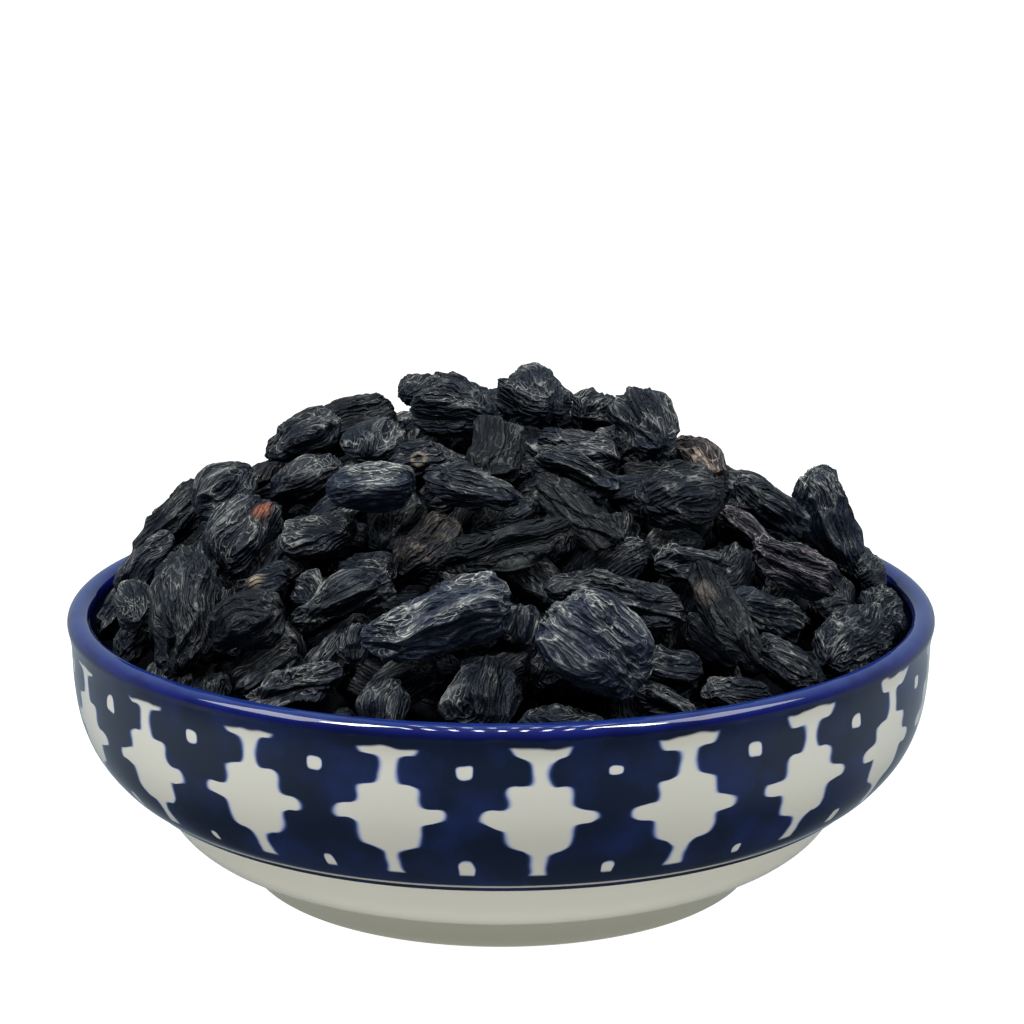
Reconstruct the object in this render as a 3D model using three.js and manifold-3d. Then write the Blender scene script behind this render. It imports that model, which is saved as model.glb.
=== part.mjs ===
// A shallow glazed bowl heaped with black raisins.
// Millimetres, +Z up. The origin is the centre of the foot ring's underside, and the front is towards -Y.
// The raisins that show at the front are pieces of their own. The ones behind and beneath them are one bed.
import * as THREE from "three";
import { mergeVertices } from "three/addons/utils/BufferGeometryUtils.js";
import Module from "manifold-3d";

const wasm = await Module();
wasm.setup();

// The bowl's driving dimensions.
const RIM_RADIUS = 60;
const BOWL_HEIGHT = 38.2;
const LIP_THICKNESS = 3.2;
const LIP_BULGE = 0.5;
const LIP_DEPTH = 3.6;
const LIP_START = -27;
const LIP_END = 207;
const LIP_STEPS = 6;
const LEDGE_RADIUS = 51.8;
const LEDGE_HEIGHT = 14.4;
const BODY_RADIUS = 48;
const FOOT_RADIUS = 35.8;
const FOOT_WIDTH = 3.2;
const FOOT_HEIGHT = 4.4;
const FLOOR_UNDERSIDE = 3;
const FLOOR_TOP = 6.6;
const BOWL_SIDES = 56;

// The heap's driving dimensions. Its surface is a dome that meets the bowl just inside the rim.
const HEAP_EDGE = 37.7;
const HEAP_RISE = 32;
const HEAP_RADIUS = 57;
const HEAP_FLATNESS = 2.2;
const CENTRE_DEPTH = 4.5;
const CORE_DEPTH = 11.5;
const GAP = 0.3;
const CORE_SIDES = 24;
const CORE_STEPS = 5;

// How many sides and rings a raisin's skin is drawn with.
const FRONT_GRID = [10, 6];
const SEEN_GRID = [8, 5];
const LOWER_GRID = [6, 4];

// Raisins that show at the front, from left to right in each row. x and y are from the bowl's axis, and lift
// is above the heap's usual level. Spin turns the long axis on the heap, and pitch raises its far end.
//  [x, y, lift, length, width, spin, pitch]
const FRONT_RAISINS = [
  // against the rim
  [-50, -17, -2, 11, 8, 60, 0],
  [-37.8, -28.5, 2, 19, 11.5, 80, 15],
  [-30, -40.5, -2, 11, 8, 30, 0],
  [-25.5, -45, 0.5, 14.5, 7.5, 8, 5],
  [-13.5, -50, 0.3, 9.5, 7.5, 75, 0],
  [0.2, -50.5, 0.8, 12, 10.5, 75, 0],
  [4.5, -52, 0.6, 12, 7, 5, 0],
  [11, -48, 2, 15.5, 12.5, -38, 0],
  [20.5, -48, -0.5, 8.5, 6, -20, 0],
  [22.5, -44, -1.5, 9.5, 8.5, 10, 0],
  [29, -43, -1, 10.5, 6.5, 5, 0],
  [34.5, -38.5, 0.5, 11, 8.5, -10, 0],
  [43.3, -27.5, 0.5, 18.5, 12, 48, 0],
  [51.5, -9.5, -0.5, 12, 9.5, 65, 0],
  // one row up
  [-28.5, -38.5, 0.5, 11, 9, 10, 0],
  [-30.5, -30, -0.5, 9, 6.5, 0, 0],
  [-19.5, -44, 0, 6.5, 5.5, 80, 0],
  [-20, -38, 0.2, 15, 7.5, 15, 0],
  [-7, -48.6, 0.8, 19.5, 10.5, 17, 0],
  [3.2, -44, -1.5, 8, 6.5, 80, 0],
  [16, -41.5, 0, 19, 9.5, -2, 0],
  [27, -38.5, 1, 16, 7, -62, 0],
  [36, -30, 0, 13.5, 8, 10, 0],
  [37, -25, 1.2, 14, 8, 0, 0],
  // middle of the slope
  [-32.5, -21, 0.3, 14, 12, 60, 0],
  [-22, -25.5, 0.5, 12, 9.5, -12, 0],
  [-15, -27.3, 1.3, 12.5, 10, -8, 0],
  [-9.5, -35, 0.5, 11.5, 9, 50, 0],
  [-6.5, -29, 2, 14, 7.5, -28, 0],
  [1, -36.5, 1, 18.5, 8, 20, 0],
  [10, -29, 1, 15.5, 7.5, -48, 0],
  [25.5, -30.5, -0.5, 12, 7.5, 18, 0],
  [23, -24, 2, 14.5, 10.5, 35, 0],
  [32.5, -19.5, -0.5, 9, 7, -20, 0],
  [35.5, -11, 1, 13, 8, 0, 0],
  // upper slope
  [-40.5, -9, -1, 11, 8, 40, 0],
  [-25, -14, -0.8, 11.5, 8.5, 0, 0],
  [-17.5, -11.5, -0.5, 11.5, 9.5, 80, 0],
  [-11.5, -16.5, -0.5, 8.5, 7, 0, 0],
  [-7.5, -9, 1.2, 13, 11, -25, 0],
  [-1, -21.5, 0.8, 14, 9.5, 80, 0],
  [9.5, -21, 0, 13, 7.5, -22, 0],
  [12.5, -14.5, 0, 12, 8.5, -15, 0],
  [16, -9.5, 0.5, 15.5, 10, -75, 0],
  [26.5, -6, -1, 13, 8, -55, 0],
  // the skyline
  [-53, -3, 0, 12, 7.5, 20, 0],
  [-43, -4.5, 0.7, 17.5, 9.5, 5, 0],
  [-37, -8, 1.2, 10, 9, 20, 0],
  [-32.5, -2, -0.8, 9.5, 8, 60, 0],
  [-26.5, -3, 0.8, 12, 8.5, 0, 0],
  [-20, 2, 0, 14, 11, 0, 0],
  [-11, 4, 0.2, 9, 7.5, 60, 0],
  [-4, 4, -0.8, 12, 9, 20, 0],
  [4, -5, 0.9, 12.5, 10.5, -60, 0],
  [12.5, 0, 0, 10, 7.5, 70, 0],
  [37.5, 1.5, -1.2, 11.5, 8.5, -20, 0],
  [42.8, -3, 2.6, 15, 11, 0, -30],
];

// Raisins that are mostly in the shade of the ones above, low at the front.
const SHADED_RAISINS = [
  [-44, -33, -2, 10, 8, 50, 0],
  [-36.5, -37, -2.5, 11, 8.5, 70, 0],
  [-22, -41, -2.5, 11, 8, 60, 0],
  [-19.5, -49, -2.5, 10, 7, 30, 0],
  [-14, -41, -2.5, 10, 8, 0, 0],
  [-7, -51.5, -2.5, 10, 7, -20, 0],
  [9, -43, -2.5, 10, 8, 60, 0],
  [15.5, -50.5, -2.5, 9, 6, 20, 0],
  [18.5, -44.5, -2, 9, 8, 40, 0],
  [33, -33, -2.5, 10, 8, -30, 0],
  [36, -42.5, -2.5, 9, 6.5, 0, 0],
  [41.5, -34, -2, 10, 8, 30, 0],
  [48, -14, -1.5, 10, 8, 50, 0],
  [-44.5, -12, -2, 11, 8, 30, 0],
  [44, -7, -1.5, 11, 8, 30, 0],
];

// Each raisin has ridges along it, so many round its girth, and as many dents. Sizes are shares of its girth,
// and a dent's spread is along the raisin and then round it.
const FOLD_COUNTS = [2, 3, 5];
const FOLD_SIZES = [0.05, 0.08, 0.09];
const DENT_SPREAD = [0.18, 0.35];
const BOW_LEVEL = 0.4;

// How high the heap stands in sight of the front, as [x, height over the middle], and how that sight rises.
const SKYLINE = [
  [-56, 41.5],
  [-48, 47.5],
  [-40, 54],
  [-32, 57.5],
  [-28, 60],
  [-24, 64],
  [-12, 66],
  [-4, 67.5],
  [4, 68],
  [8, 66],
  [16, 65.5],
  [20, 63],
  [24, 59],
  [32, 56.5],
  [40, 53],
  [46, 50],
  [54, 42],
  [57, 38.5],
];
const SIGHT_SLOPE = 0.246;
const SKYLINE_GIRTH = 0.46;
const DEEPEST_LIFT = -5;

// The raisins behind fall where there is room. The lower ones lie on a staggered grid, in the gaps.
const BEHIND_FROM_Y = 2;
const BEHIND_TRIES = 4000;
const BEHIND_REACH = 52;
const BEHIND_OVERLAP = 1.6;
const LOWER_DROP = 5;
const LOWER_PITCH = 8.8;
const LOWER_ROW = 0.87;
const LOWER_STRAY = 1.5;
const LOWER_LENGTH = 1.4;
const LOWER_REACH = 52.5;
const LOWER_CLEAR = 5.4;

// How the heap settles: what each raisin yields to a neighbour, and how far it is drawn back, in each round.
const SETTLE_ROUNDS = 40;
const SETTLE_SHARE = 0.3;
const HOME_PULL = 0.06;
const CORE_CLEAR = 2;
const WALL_CLEAR = 2.4;

// How raisins are pressed: the reach of a neighbour, and the least of the room between two that each keeps.
const NEAR_MARGIN = 4;
const WALL_MARGIN = 2.5;
const LEAST_SHARE = 0.35;
const LEAST_GIRTH = 0.2;
const ROOM_STEPS = 24;
const ROOM_SHRINK = 0.93;
const ROOT_DEPTH = 1.5;

const MERGE_TOLERANCE = 1e-4;
const DEGREE = Math.PI / 180;
const X_AXIS = new THREE.Vector3(1, 0, 0);

// A seeded draw between two values, the same on every run.
let seed = 20240;
function draw(low, high) {
  seed = (seed * 1664525 + 1013904223) % 4294967296;
  return low + ((high - low) * seed) / 4294967296;
}

const lipRadius = LIP_THICKNESS / 2;
const lipCentre = RIM_RADIUS - lipRadius;
const lipFoot = BOWL_HEIGHT - LIP_DEPTH;

// The bowl's outside, from the foot up to the lip, as [radius, height].
const OUTSIDE = [
  [0, FLOOR_UNDERSIDE],
  [FOOT_RADIUS - FOOT_WIDTH - 1, FLOOR_UNDERSIDE],
  [FOOT_RADIUS - FOOT_WIDTH, 0],
  [FOOT_RADIUS - 0.2, 0],
  [FOOT_RADIUS + 0.5, FOOT_HEIGHT],
  [BODY_RADIUS - 5.4, 6.1],
  [BODY_RADIUS - 3, 7.4],
  [BODY_RADIUS - 1.2, 9.4],
  [BODY_RADIUS - 0.2, 12],
  [BODY_RADIUS, LEDGE_HEIGHT - 0.6],
  [LEDGE_RADIUS - 0.5, LEDGE_HEIGHT - 0.5],
  [LEDGE_RADIUS, LEDGE_HEIGHT],
  [54.4, 16.6],
  [57, 20],
  [58.6, 24],
  [59.3, 28.5],
  [RIM_RADIUS - LIP_BULGE, lipFoot],
];

// The bowl's inside, from the lip down to the middle of the floor.
const INSIDE = [
  [RIM_RADIUS - LIP_THICKNESS - 0.2, lipFoot],
  [56.2, 29],
  [55.3, 24],
  [53.2, 19.5],
  [49, 14.4],
  [42.5, 10.2],
  [34, 7.6],
  [22, FLOOR_TOP],
  [0, FLOOR_TOP - 0.2],
];

// The rounded lip between the two, as an arc.
function lipArc() {
  const arc = [];
  for (let i = 0; i <= LIP_STEPS; i++) {
    const angle = (LIP_START + ((LIP_END - LIP_START) * i) / LIP_STEPS) * DEGREE;
    arc.push([
      lipCentre + lipRadius * Math.cos(angle),
      BOWL_HEIGHT - lipRadius + lipRadius * Math.sin(angle),
    ]);
  }
  return arc;
}

// A solid of revolution from a profile that starts and ends on the axis.
function lathe(profile, sides) {
  const points = profile.map(([r, z]) => new THREE.Vector2(r, z));
  const geometry = new THREE.LatheGeometry(points, sides);
  geometry.rotateX(Math.PI / 2);
  return geometry;
}

// The room inside the bowl: its radius at height z, carried straight up above the rim.
function roomRadius(z) {
  const height = Math.min(Math.max(z, FLOOR_TOP), lipFoot);
  const i = INSIDE.findIndex(([, low]) => low <= height);
  const [[r1, z1], [r2, z2]] = [INSIDE[Math.max(i - 1, 0)], INSIDE[Math.max(i, 1)]];
  return r2 + ((r1 - r2) * (height - z2)) / (z1 - z2) - GAP;
}

function heapTop(r) {
  return HEAP_EDGE + HEAP_RISE * (1 - Math.pow(r / HEAP_RADIUS, HEAP_FLATNESS));
}

function heapNormal(x, y) {
  const r = Math.hypot(x, y);
  const slope = (HEAP_RISE * HEAP_FLATNESS * Math.pow(r / HEAP_RADIUS, HEAP_FLATNESS - 1)) / HEAP_RADIUS;
  const away = r > 0 ? slope / r : 0;
  return new THREE.Vector3(x * away, y * away, 1).normalize();
}

// A raisin lying on the heap, with everything that its form needs.
function makeRaisin([x, y, lift, length, width, spin, pitch]) {
  const normal = heapNormal(x, y);
  const level = new THREE.Vector3(x, y, heapTop(Math.hypot(x, y)) - CENTRE_DEPTH);
  const home = level.addScaledVector(normal, lift);
  const across = X_AXIS.clone().addScaledVector(normal, -X_AXIS.dot(normal)).normalize();
  const up = normal.clone().cross(across);
  const lying = across
    .multiplyScalar(Math.cos(spin * DEGREE))
    .addScaledVector(up, Math.sin(spin * DEGREE));
  const roll = draw(-25, 25) * DEGREE;
  const e1 = lying
    .clone()
    .multiplyScalar(Math.cos(pitch * DEGREE))
    .addScaledVector(normal, Math.sin(pitch * DEGREE));
  const side = normal.clone().cross(lying).normalize();
  const top = e1.clone().cross(side);
  const e2 = side
    .clone()
    .multiplyScalar(Math.cos(roll))
    .addScaledVector(top, Math.sin(roll));
  const e3 = e1.clone().cross(e2);
  const thickness = width * draw(0.72, 0.92);
  return {
    home,
    centre: home.clone(),
    axes: [e1, e2, e3],
    length,
    width,
    thickness,
    reach: (length - width) / 2,
    fullness: draw(0.4, 0.56),
    taper: draw(-0.2, 0.2),
    bend: draw(-0.1, 0.1),
    sag: draw(-0.08, 0.08),
    folds: FOLD_COUNTS.map((count, i) => ({
      count,
      size: draw(0.5, 1) * FOLD_SIZES[i],
      turn: draw(0, 360) * DEGREE,
      twist: draw(-1, 1),
    })),
    dents: FOLD_COUNTS.map(() => ({
      at: draw(-0.7, 0.7),
      turn: draw(0, 360) * DEGREE,
      depth: draw(0.1, 0.32),
    })),
    walls: [],
    rooted: 0,
    still: false,
  };
}

// A point of the raisin's skin before its neighbours press on it. s runs from tip to tip, turn goes round.
function skinPoint(raisin, s, turn) {
  let girth = Math.pow(Math.max(1 - s * s, 0), raisin.fullness) * (1 + raisin.taper * s);
  for (const fold of raisin.folds)
    girth *= 1 + fold.size * Math.cos(fold.count * turn + fold.turn + fold.twist * s);
  for (const dent of raisin.dents) {
    const along = (s - dent.at) ** 2 / DENT_SPREAD[0];
    const round = (1 - Math.cos(turn - dent.turn)) / DENT_SPREAD[1];
    girth *= 1 - dent.depth * Math.exp(-along - round);
  }
  const bow = raisin.width * (s * s - BOW_LEVEL);
  const wide = (raisin.width / 2) * girth * Math.cos(turn) + raisin.bend * bow;
  const high = (raisin.thickness / 2) * girth * Math.sin(turn) + raisin.sag * bow;
  const root = high < 0 && raisin.rooted > 0 ? raisin.rooted / (raisin.thickness / 2) : 1;
  return raisin.centre
    .clone()
    .addScaledVector(raisin.axes[0], (raisin.length / 2) * s)
    .addScaledVector(raisin.axes[1], wide)
    .addScaledVector(raisin.axes[2], high * root);
}

// The nearest point of the raisin's middle line.
function middlePoint(raisin, point) {
  const s = point.clone().sub(raisin.centre).dot(raisin.axes[0]);
  const held = Math.min(Math.max(s, -raisin.reach), raisin.reach);
  return raisin.centre.clone().addScaledVector(raisin.axes[0], held);
}

// Draws a skin point in towards the middle line until it clears every neighbour and the bowl.
function pressed(raisin, point) {
  const middle = middlePoint(raisin, point);
  const out = point.clone().sub(middle);
  let keep = 1;
  for (const wall of raisin.walls) {
    const reach = wall.normal.dot(out);
    const room = wall.offset - wall.normal.dot(middle);
    if (reach > 0) keep = Math.min(keep, Math.max(room, LEAST_GIRTH) / reach);
  }
  const inside = () => inRoom(middle.clone().addScaledVector(out, keep));
  for (let step = 0; step < ROOM_STEPS && !inside(); step++) keep *= ROOM_SHRINK;
  return middle.addScaledVector(out, keep);
}

function inRoom(point) {
  return Math.hypot(point.x, point.y) < roomRadius(point.z);
}

// How far the raisin reaches from its middle line in a direction.
function girthTowards(raisin, normal) {
  const wide = (normal.dot(raisin.axes[1]) * raisin.width) / 2;
  const high = (normal.dot(raisin.axes[2]) * raisin.thickness) / 2;
  const long = (normal.dot(raisin.axes[0]) * raisin.width) / 2;
  return Math.sqrt(wide * wide + high * high + long * long);
}

// Where two raisins' middle lines come nearest, with the depth by which their skins would overlap there.
function contact(a, b) {
  const between = a.centre.clone().sub(b.centre);
  const lean = a.axes[0].dot(b.axes[0]);
  const onA = a.axes[0].dot(between);
  const onB = b.axes[0].dot(between);
  const flat = 1 - lean * lean;
  const hold = (value, limit) => Math.min(Math.max(value, -limit), limit);
  let s = flat > 1e-6 ? hold((lean * onB - onA) / flat, a.reach) : 0;
  const t = hold(lean * s + onB, b.reach);
  s = hold(lean * t - onA, a.reach);
  const pointA = a.centre.clone().addScaledVector(a.axes[0], s);
  const pointB = b.centre.clone().addScaledVector(b.axes[0], t);
  const normal = pointB.clone().sub(pointA);
  const distance = Math.max(normal.length(), 1e-3);
  normal.divideScalar(distance);
  const girthA = girthTowards(a, normal);
  const girthB = girthTowards(b, normal);
  return { pointA, normal, distance, girthA, girthB, depth: girthA + girthB + GAP - distance };
}

// Keeps a raisin's middle line above the core and inside the bowl.
function keepInHeap(raisin) {
  for (const end of [-1, 1]) {
    const tip = raisin.centre.clone().addScaledVector(raisin.axes[0], end * raisin.reach);
    const above = heightOverCore(tip);
    if (above < CORE_CLEAR) raisin.centre.addScaledVector(heapNormal(tip.x, tip.y), CORE_CLEAR - above);
  }
  for (const end of [-1, 1]) {
    const tip = raisin.centre.clone().addScaledVector(raisin.axes[0], end * raisin.reach);
    const r = Math.hypot(tip.x, tip.y);
    const tooFar = Math.max(r + WALL_CLEAR - roomRadius(tip.z), 0);
    raisin.centre.x -= (tip.x / r) * tooFar;
    raisin.centre.y -= (tip.y / r) * tooFar;
  }
}

// How far a point is above the core's surface, square to it.
function heightOverCore(point) {
  const over = point.z - heapTop(Math.hypot(point.x, point.y)) + CORE_DEPTH;
  return over * heapNormal(point.x, point.y).z;
}

// Every two raisins that could come to touch.
function nearPairs(raisins) {
  const pairs = [];
  for (let i = 0; i < raisins.length; i++)
    for (let j = i + 1; j < raisins.length; j++) {
      const [a, b] = [raisins[i], raisins[j]];
      if (a.centre.distanceTo(b.centre) < (a.length + b.length) / 2 + NEAR_MARGIN) pairs.push([a, b]);
    }
  return pairs;
}

// Lets the raisins push each other apart a little, while each is drawn back to where it lies.
function settle(raisins) {
  const pairs = nearPairs(raisins).filter(([a, b]) => !(a.still && b.still));
  for (let round = 0; round < SETTLE_ROUNDS; round++) {
    for (const [a, b] of pairs) {
      const touch = contact(a, b);
      if (touch.depth <= 0) continue;
      const push = touch.depth * SETTLE_SHARE * (a.still || b.still ? 2 : 1);
      if (!a.still) a.centre.addScaledVector(touch.normal, -push);
      if (!b.still) b.centre.addScaledVector(touch.normal, push);
    }
    for (const raisin of raisins) {
      if (raisin.still) continue;
      raisin.centre.lerp(raisin.home, HOME_PULL);
      keepInHeap(raisin);
    }
  }
  for (const raisin of raisins) raisin.still = true;
}

// Puts a flat wall between two raisins whose skins would overlap, GAP wide.
function pressTogether(a, b) {
  const touch = contact(a, b);
  if (touch.depth <= -WALL_MARGIN) return;
  const { pointA, normal, distance, girthA, girthB } = touch;
  const least = LEAST_SHARE * distance;
  const wanted = (distance + girthA - girthB) / 2;
  const at = normal.dot(pointA) + Math.min(Math.max(wanted, least), distance - least);
  a.walls.push({ normal: normal.clone(), offset: at - GAP / 2 });
  b.walls.push({ normal: normal.clone().negate(), offset: -at - GAP / 2 });
}

// Puts the core's surface, as a flat wall, under a raisin.
function pressOnCore(raisin) {
  const { x, y } = raisin.centre;
  const normal = heapNormal(x, y);
  const surface = new THREE.Vector3(x, y, heapTop(Math.hypot(x, y)) - CORE_DEPTH);
  raisin.walls.push({ normal: normal.clone().negate(), offset: -normal.dot(surface) - GAP });
}

// Carries the underside of a raisin of the bed down into the core.
function rootInCore(raisin) {
  raisin.rooted = Math.max(raisin.thickness / 2, heightOverCore(raisin.centre) + ROOT_DEPTH);
}

// The height of the skyline at x.
function skylineHeight(x) {
  const last = SKYLINE.length - 1;
  const held = Math.min(Math.max(x, SKYLINE[0][0]), SKYLINE[last][0]);
  const i = Math.max(SKYLINE.findIndex(([place]) => place >= held), 1);
  const [[x1, z1], [x2, z2]] = [SKYLINE[i - 1], SKYLINE[i]];
  return z1 + ((z2 - z1) * (held - x1)) / (x2 - x1);
}

// The most lift that keeps a raisin's top beneath the skyline, where it is deep enough to be kept there.
function liftInSight(x, y, width) {
  const top = skylineHeight(x) - SIGHT_SLOPE * y - SKYLINE_GIRTH * width;
  return Math.max(top - heapTop(Math.hypot(x, y)) + CENTRE_DEPTH, DEEPEST_LIFT);
}

// The raisins behind the front ones: each try that finds room is kept.
function fallBehind(placed) {
  const behind = [];
  for (let tries = 0; tries < BEHIND_TRIES; tries++) {
    const angle = draw(0, 360) * DEGREE;
    const r = BEHIND_REACH * Math.sqrt(draw(0, 1));
    const place = [r * Math.cos(angle), r * Math.sin(angle)];
    const width = draw(7, 10.5);
    const size = [width * draw(1.2, 1.75), width];
    const lie = [draw(0, 180), draw(-12, 12)];
    const lift = Math.min(draw(-1, 2), liftInSight(...place, width));
    if (place[1] < BEHIND_FROM_Y) continue;
    const raisin = makeRaisin([...place, lift, ...size, ...lie]);
    if ([...placed, ...behind].every((other) => contact(raisin, other).depth < BEHIND_OVERLAP))
      behind.push(raisin);
  }
  return behind;
}

// The raisins one layer down, on a staggered grid, wherever no raisin above hides them.
function fillGaps(placed) {
  const lower = [];
  const rows = Math.ceil(LOWER_REACH / LOWER_PITCH);
  for (let row = -rows; row <= rows; row++)
    for (let column = -rows; column <= rows; column++) {
      const x = (column + (row % 2) / 2) * LOWER_PITCH + draw(-LOWER_STRAY, LOWER_STRAY);
      const y = row * LOWER_PITCH * LOWER_ROW + draw(-LOWER_STRAY, LOWER_STRAY);
      const width = draw(7.5, 9.5);
      const lie = [draw(0, 180), draw(-15, 15)];
      const raisin = makeRaisin([x, y, -LOWER_DROP, width * LOWER_LENGTH, width, ...lie]);
      const hidden = placed.some(
        (other) => middlePoint(other, raisin.centre).distanceTo(raisin.centre) < LOWER_CLEAR,
      );
      if (Math.hypot(x, y) < LOWER_REACH && !hidden) lower.push(raisin);
    }
  return lower;
}

// A raisin's skin as a closed mesh of rings from tip to tip.
function raisinGeometry(raisin, [sides, rings]) {
  const positions = [];
  const index = [];
  const add = (s, turn) => {
    const point = pressed(raisin, skinPoint(raisin, s, turn));
    positions.push(point.x, point.y, point.z);
    return positions.length / 3 - 1;
  };
  const first = add(-1, 0);
  const loops = [];
  for (let ring = 1; ring < rings; ring++) {
    const s = -Math.cos((Math.PI * ring) / rings);
    const loop = [];
    for (let side = 0; side < sides; side++) loop.push(add(s, (2 * Math.PI * side) / sides));
    loops.push(loop);
  }
  const last = add(1, 0);
  for (let side = 0; side < sides; side++) {
    const next = (side + 1) % sides;
    index.push(first, loops[0][next], loops[0][side]);
    for (let k = 1; k < loops.length; k++) {
      const [a, b, c, d] = [loops[k - 1][side], loops[k - 1][next], loops[k][side], loops[k][next]];
      index.push(a, b, d, a, d, c);
    }
    const end = loops[loops.length - 1];
    index.push(last, end[side], end[next]);
  }
  const geometry = new THREE.BufferGeometry();
  geometry.setAttribute("position", new THREE.Float32BufferAttribute(positions, 3));
  geometry.setIndex(index);
  return geometry;
}

// A closed mesh as a solid that can be joined to others, and back.
function solidOf(geometry) {
  const bare = geometry.clone();
  bare.deleteAttribute("normal");
  bare.deleteAttribute("uv");
  const merged = mergeVertices(bare, MERGE_TOLERANCE);
  return new wasm.Manifold(
    new wasm.Mesh({
      numProp: 3,
      vertProperties: new Float32Array(merged.attributes.position.array),
      triVerts: new Uint32Array(merged.index.array),
    }),
  );
}

function geometryOf(solid) {
  const { vertProperties, triVerts } = solid.getMesh();
  const geometry = new THREE.BufferGeometry();
  geometry.setAttribute("position", new THREE.BufferAttribute(new Float32Array(vertProperties), 3));
  geometry.setIndex(new THREE.BufferAttribute(new Uint32Array(triVerts), 1));
  return geometry;
}

// The packed middle of the heap, clear of the bowl all round.
function coreGeometry() {
  const below = INSIDE.slice(2).reverse();
  const profile = below.map(([r, z]) => [Math.max(r - GAP, 0), z + GAP]);
  const edge = profile[profile.length - 1][0];
  for (let i = CORE_STEPS; i >= 0; i--) {
    const r = (edge * i) / CORE_STEPS;
    profile.push([r, heapTop(r) - CORE_DEPTH]);
  }
  return lathe(profile, CORE_SIDES);
}

// The raisins behind and beneath, joined to the core they stand out of.
function bedGeometry(seen, lower) {
  const pieces = [
    ...seen.map((raisin) => raisinGeometry(raisin, SEEN_GRID)),
    ...lower.map((raisin) => raisinGeometry(raisin, LOWER_GRID)),
  ];
  const joined = wasm.Manifold.union([coreGeometry(), ...pieces].map(solidOf));
  const bodies = joined.decompose();
  return geometryOf(bodies.reduce((best, body) => (body.volume() > best.volume() ? body : best)));
}

const front = FRONT_RAISINS.map(makeRaisin);
const behind = fallBehind(front);
settle([...front, ...behind]);
const shaded = SHADED_RAISINS.map(makeRaisin);
const upper = [...front, ...behind, ...shaded];
settle(upper);
const lower = fillGaps(upper);
const heap = [...upper, ...lower];
settle(heap);
nearPairs(heap).forEach(([a, b]) => pressTogether(a, b));
front.forEach(pressOnCore);
[...behind, ...shaded, ...lower].forEach(rootInCore);

const BLUE_GLAZE = { color: 0x1c2a6b, roughness: 0.15, metalness: 0 };
const RAISIN_SKIN = { color: 0x16181c, roughness: 0.6, metalness: 0 };

const group = new THREE.Group();
function addPiece(name, geometry, finish) {
  const mesh = new THREE.Mesh(geometry, new THREE.MeshStandardMaterial(finish));
  mesh.name = name;
  group.add(mesh);
}
addPiece("bowl", lathe([...OUTSIDE, ...lipArc(), ...INSIDE], BOWL_SIDES), BLUE_GLAZE);
addPiece("raisin_bed", bedGeometry([...behind, ...shaded], lower), RAISIN_SKIN);
front.forEach((raisin, i) => {
  const name = "raisin_" + String(i + 1).padStart(2, "0");
  addPiece(name, raisinGeometry(raisin, FRONT_GRID), RAISIN_SKIN);
});

export default group;
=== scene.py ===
# A shallow glazed bowl heaped with dark raisins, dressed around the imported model.
# The heap's rule repeats the part's own, in millimetres. MM turns them into metres where a mesh is made.
import math
from collections import namedtuple

import bpy
import numpy as np
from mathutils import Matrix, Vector


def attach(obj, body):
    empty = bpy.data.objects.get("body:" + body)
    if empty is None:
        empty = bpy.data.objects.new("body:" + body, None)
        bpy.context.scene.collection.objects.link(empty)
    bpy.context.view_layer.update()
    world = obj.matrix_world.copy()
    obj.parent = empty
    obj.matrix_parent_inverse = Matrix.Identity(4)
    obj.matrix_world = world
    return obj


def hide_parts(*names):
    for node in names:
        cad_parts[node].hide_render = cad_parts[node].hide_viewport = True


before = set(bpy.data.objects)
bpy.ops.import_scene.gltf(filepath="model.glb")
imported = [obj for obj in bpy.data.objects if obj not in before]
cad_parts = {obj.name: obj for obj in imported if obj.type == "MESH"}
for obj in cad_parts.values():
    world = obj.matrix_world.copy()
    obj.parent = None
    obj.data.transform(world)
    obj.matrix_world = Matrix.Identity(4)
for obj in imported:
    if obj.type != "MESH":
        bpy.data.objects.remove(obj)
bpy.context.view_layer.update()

MM = 0.001
TURN = 2 * math.pi

# The camera, 400 mm from the heap and 13.8 degrees above the level, as in the photograph.
CAMERA_AIM = (1.5, 0, 50)
CAMERA_DISTANCE = 400
CAMERA_HEIGHT_ANGLE = 13.83
CAMERA_LENS = 101.46
SENSOR = 36

# The bowl's driving dimensions.
RIM_RADIUS = 60
BOWL_HEIGHT = 38.2
LIP_THICKNESS = 3.2
LIP_BULGE = 0.5
LIP_DEPTH = 3.6
LIP_START = -27
LIP_END = 207
LEDGE_RADIUS = 51.8
LEDGE_HEIGHT = 14.4
BODY_RADIUS = 48
FOOT_RADIUS = 35.8
FOOT_WIDTH = 3.2
FOOT_HEIGHT = 4.4
FLOOR_UNDERSIDE = 3
FLOOR_TOP = 6.6
BOWL_SIDES = 288

# The heap's driving dimensions. Its surface is a dome that meets the bowl just inside the rim.
HEAP_EDGE = 37.7
HEAP_RISE = 32
HEAP_RADIUS = 57
HEAP_FLATNESS = 2.2
CENTRE_DEPTH = 4.5
CORE_DEPTH = 11.5
GAP = 0.3

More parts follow.
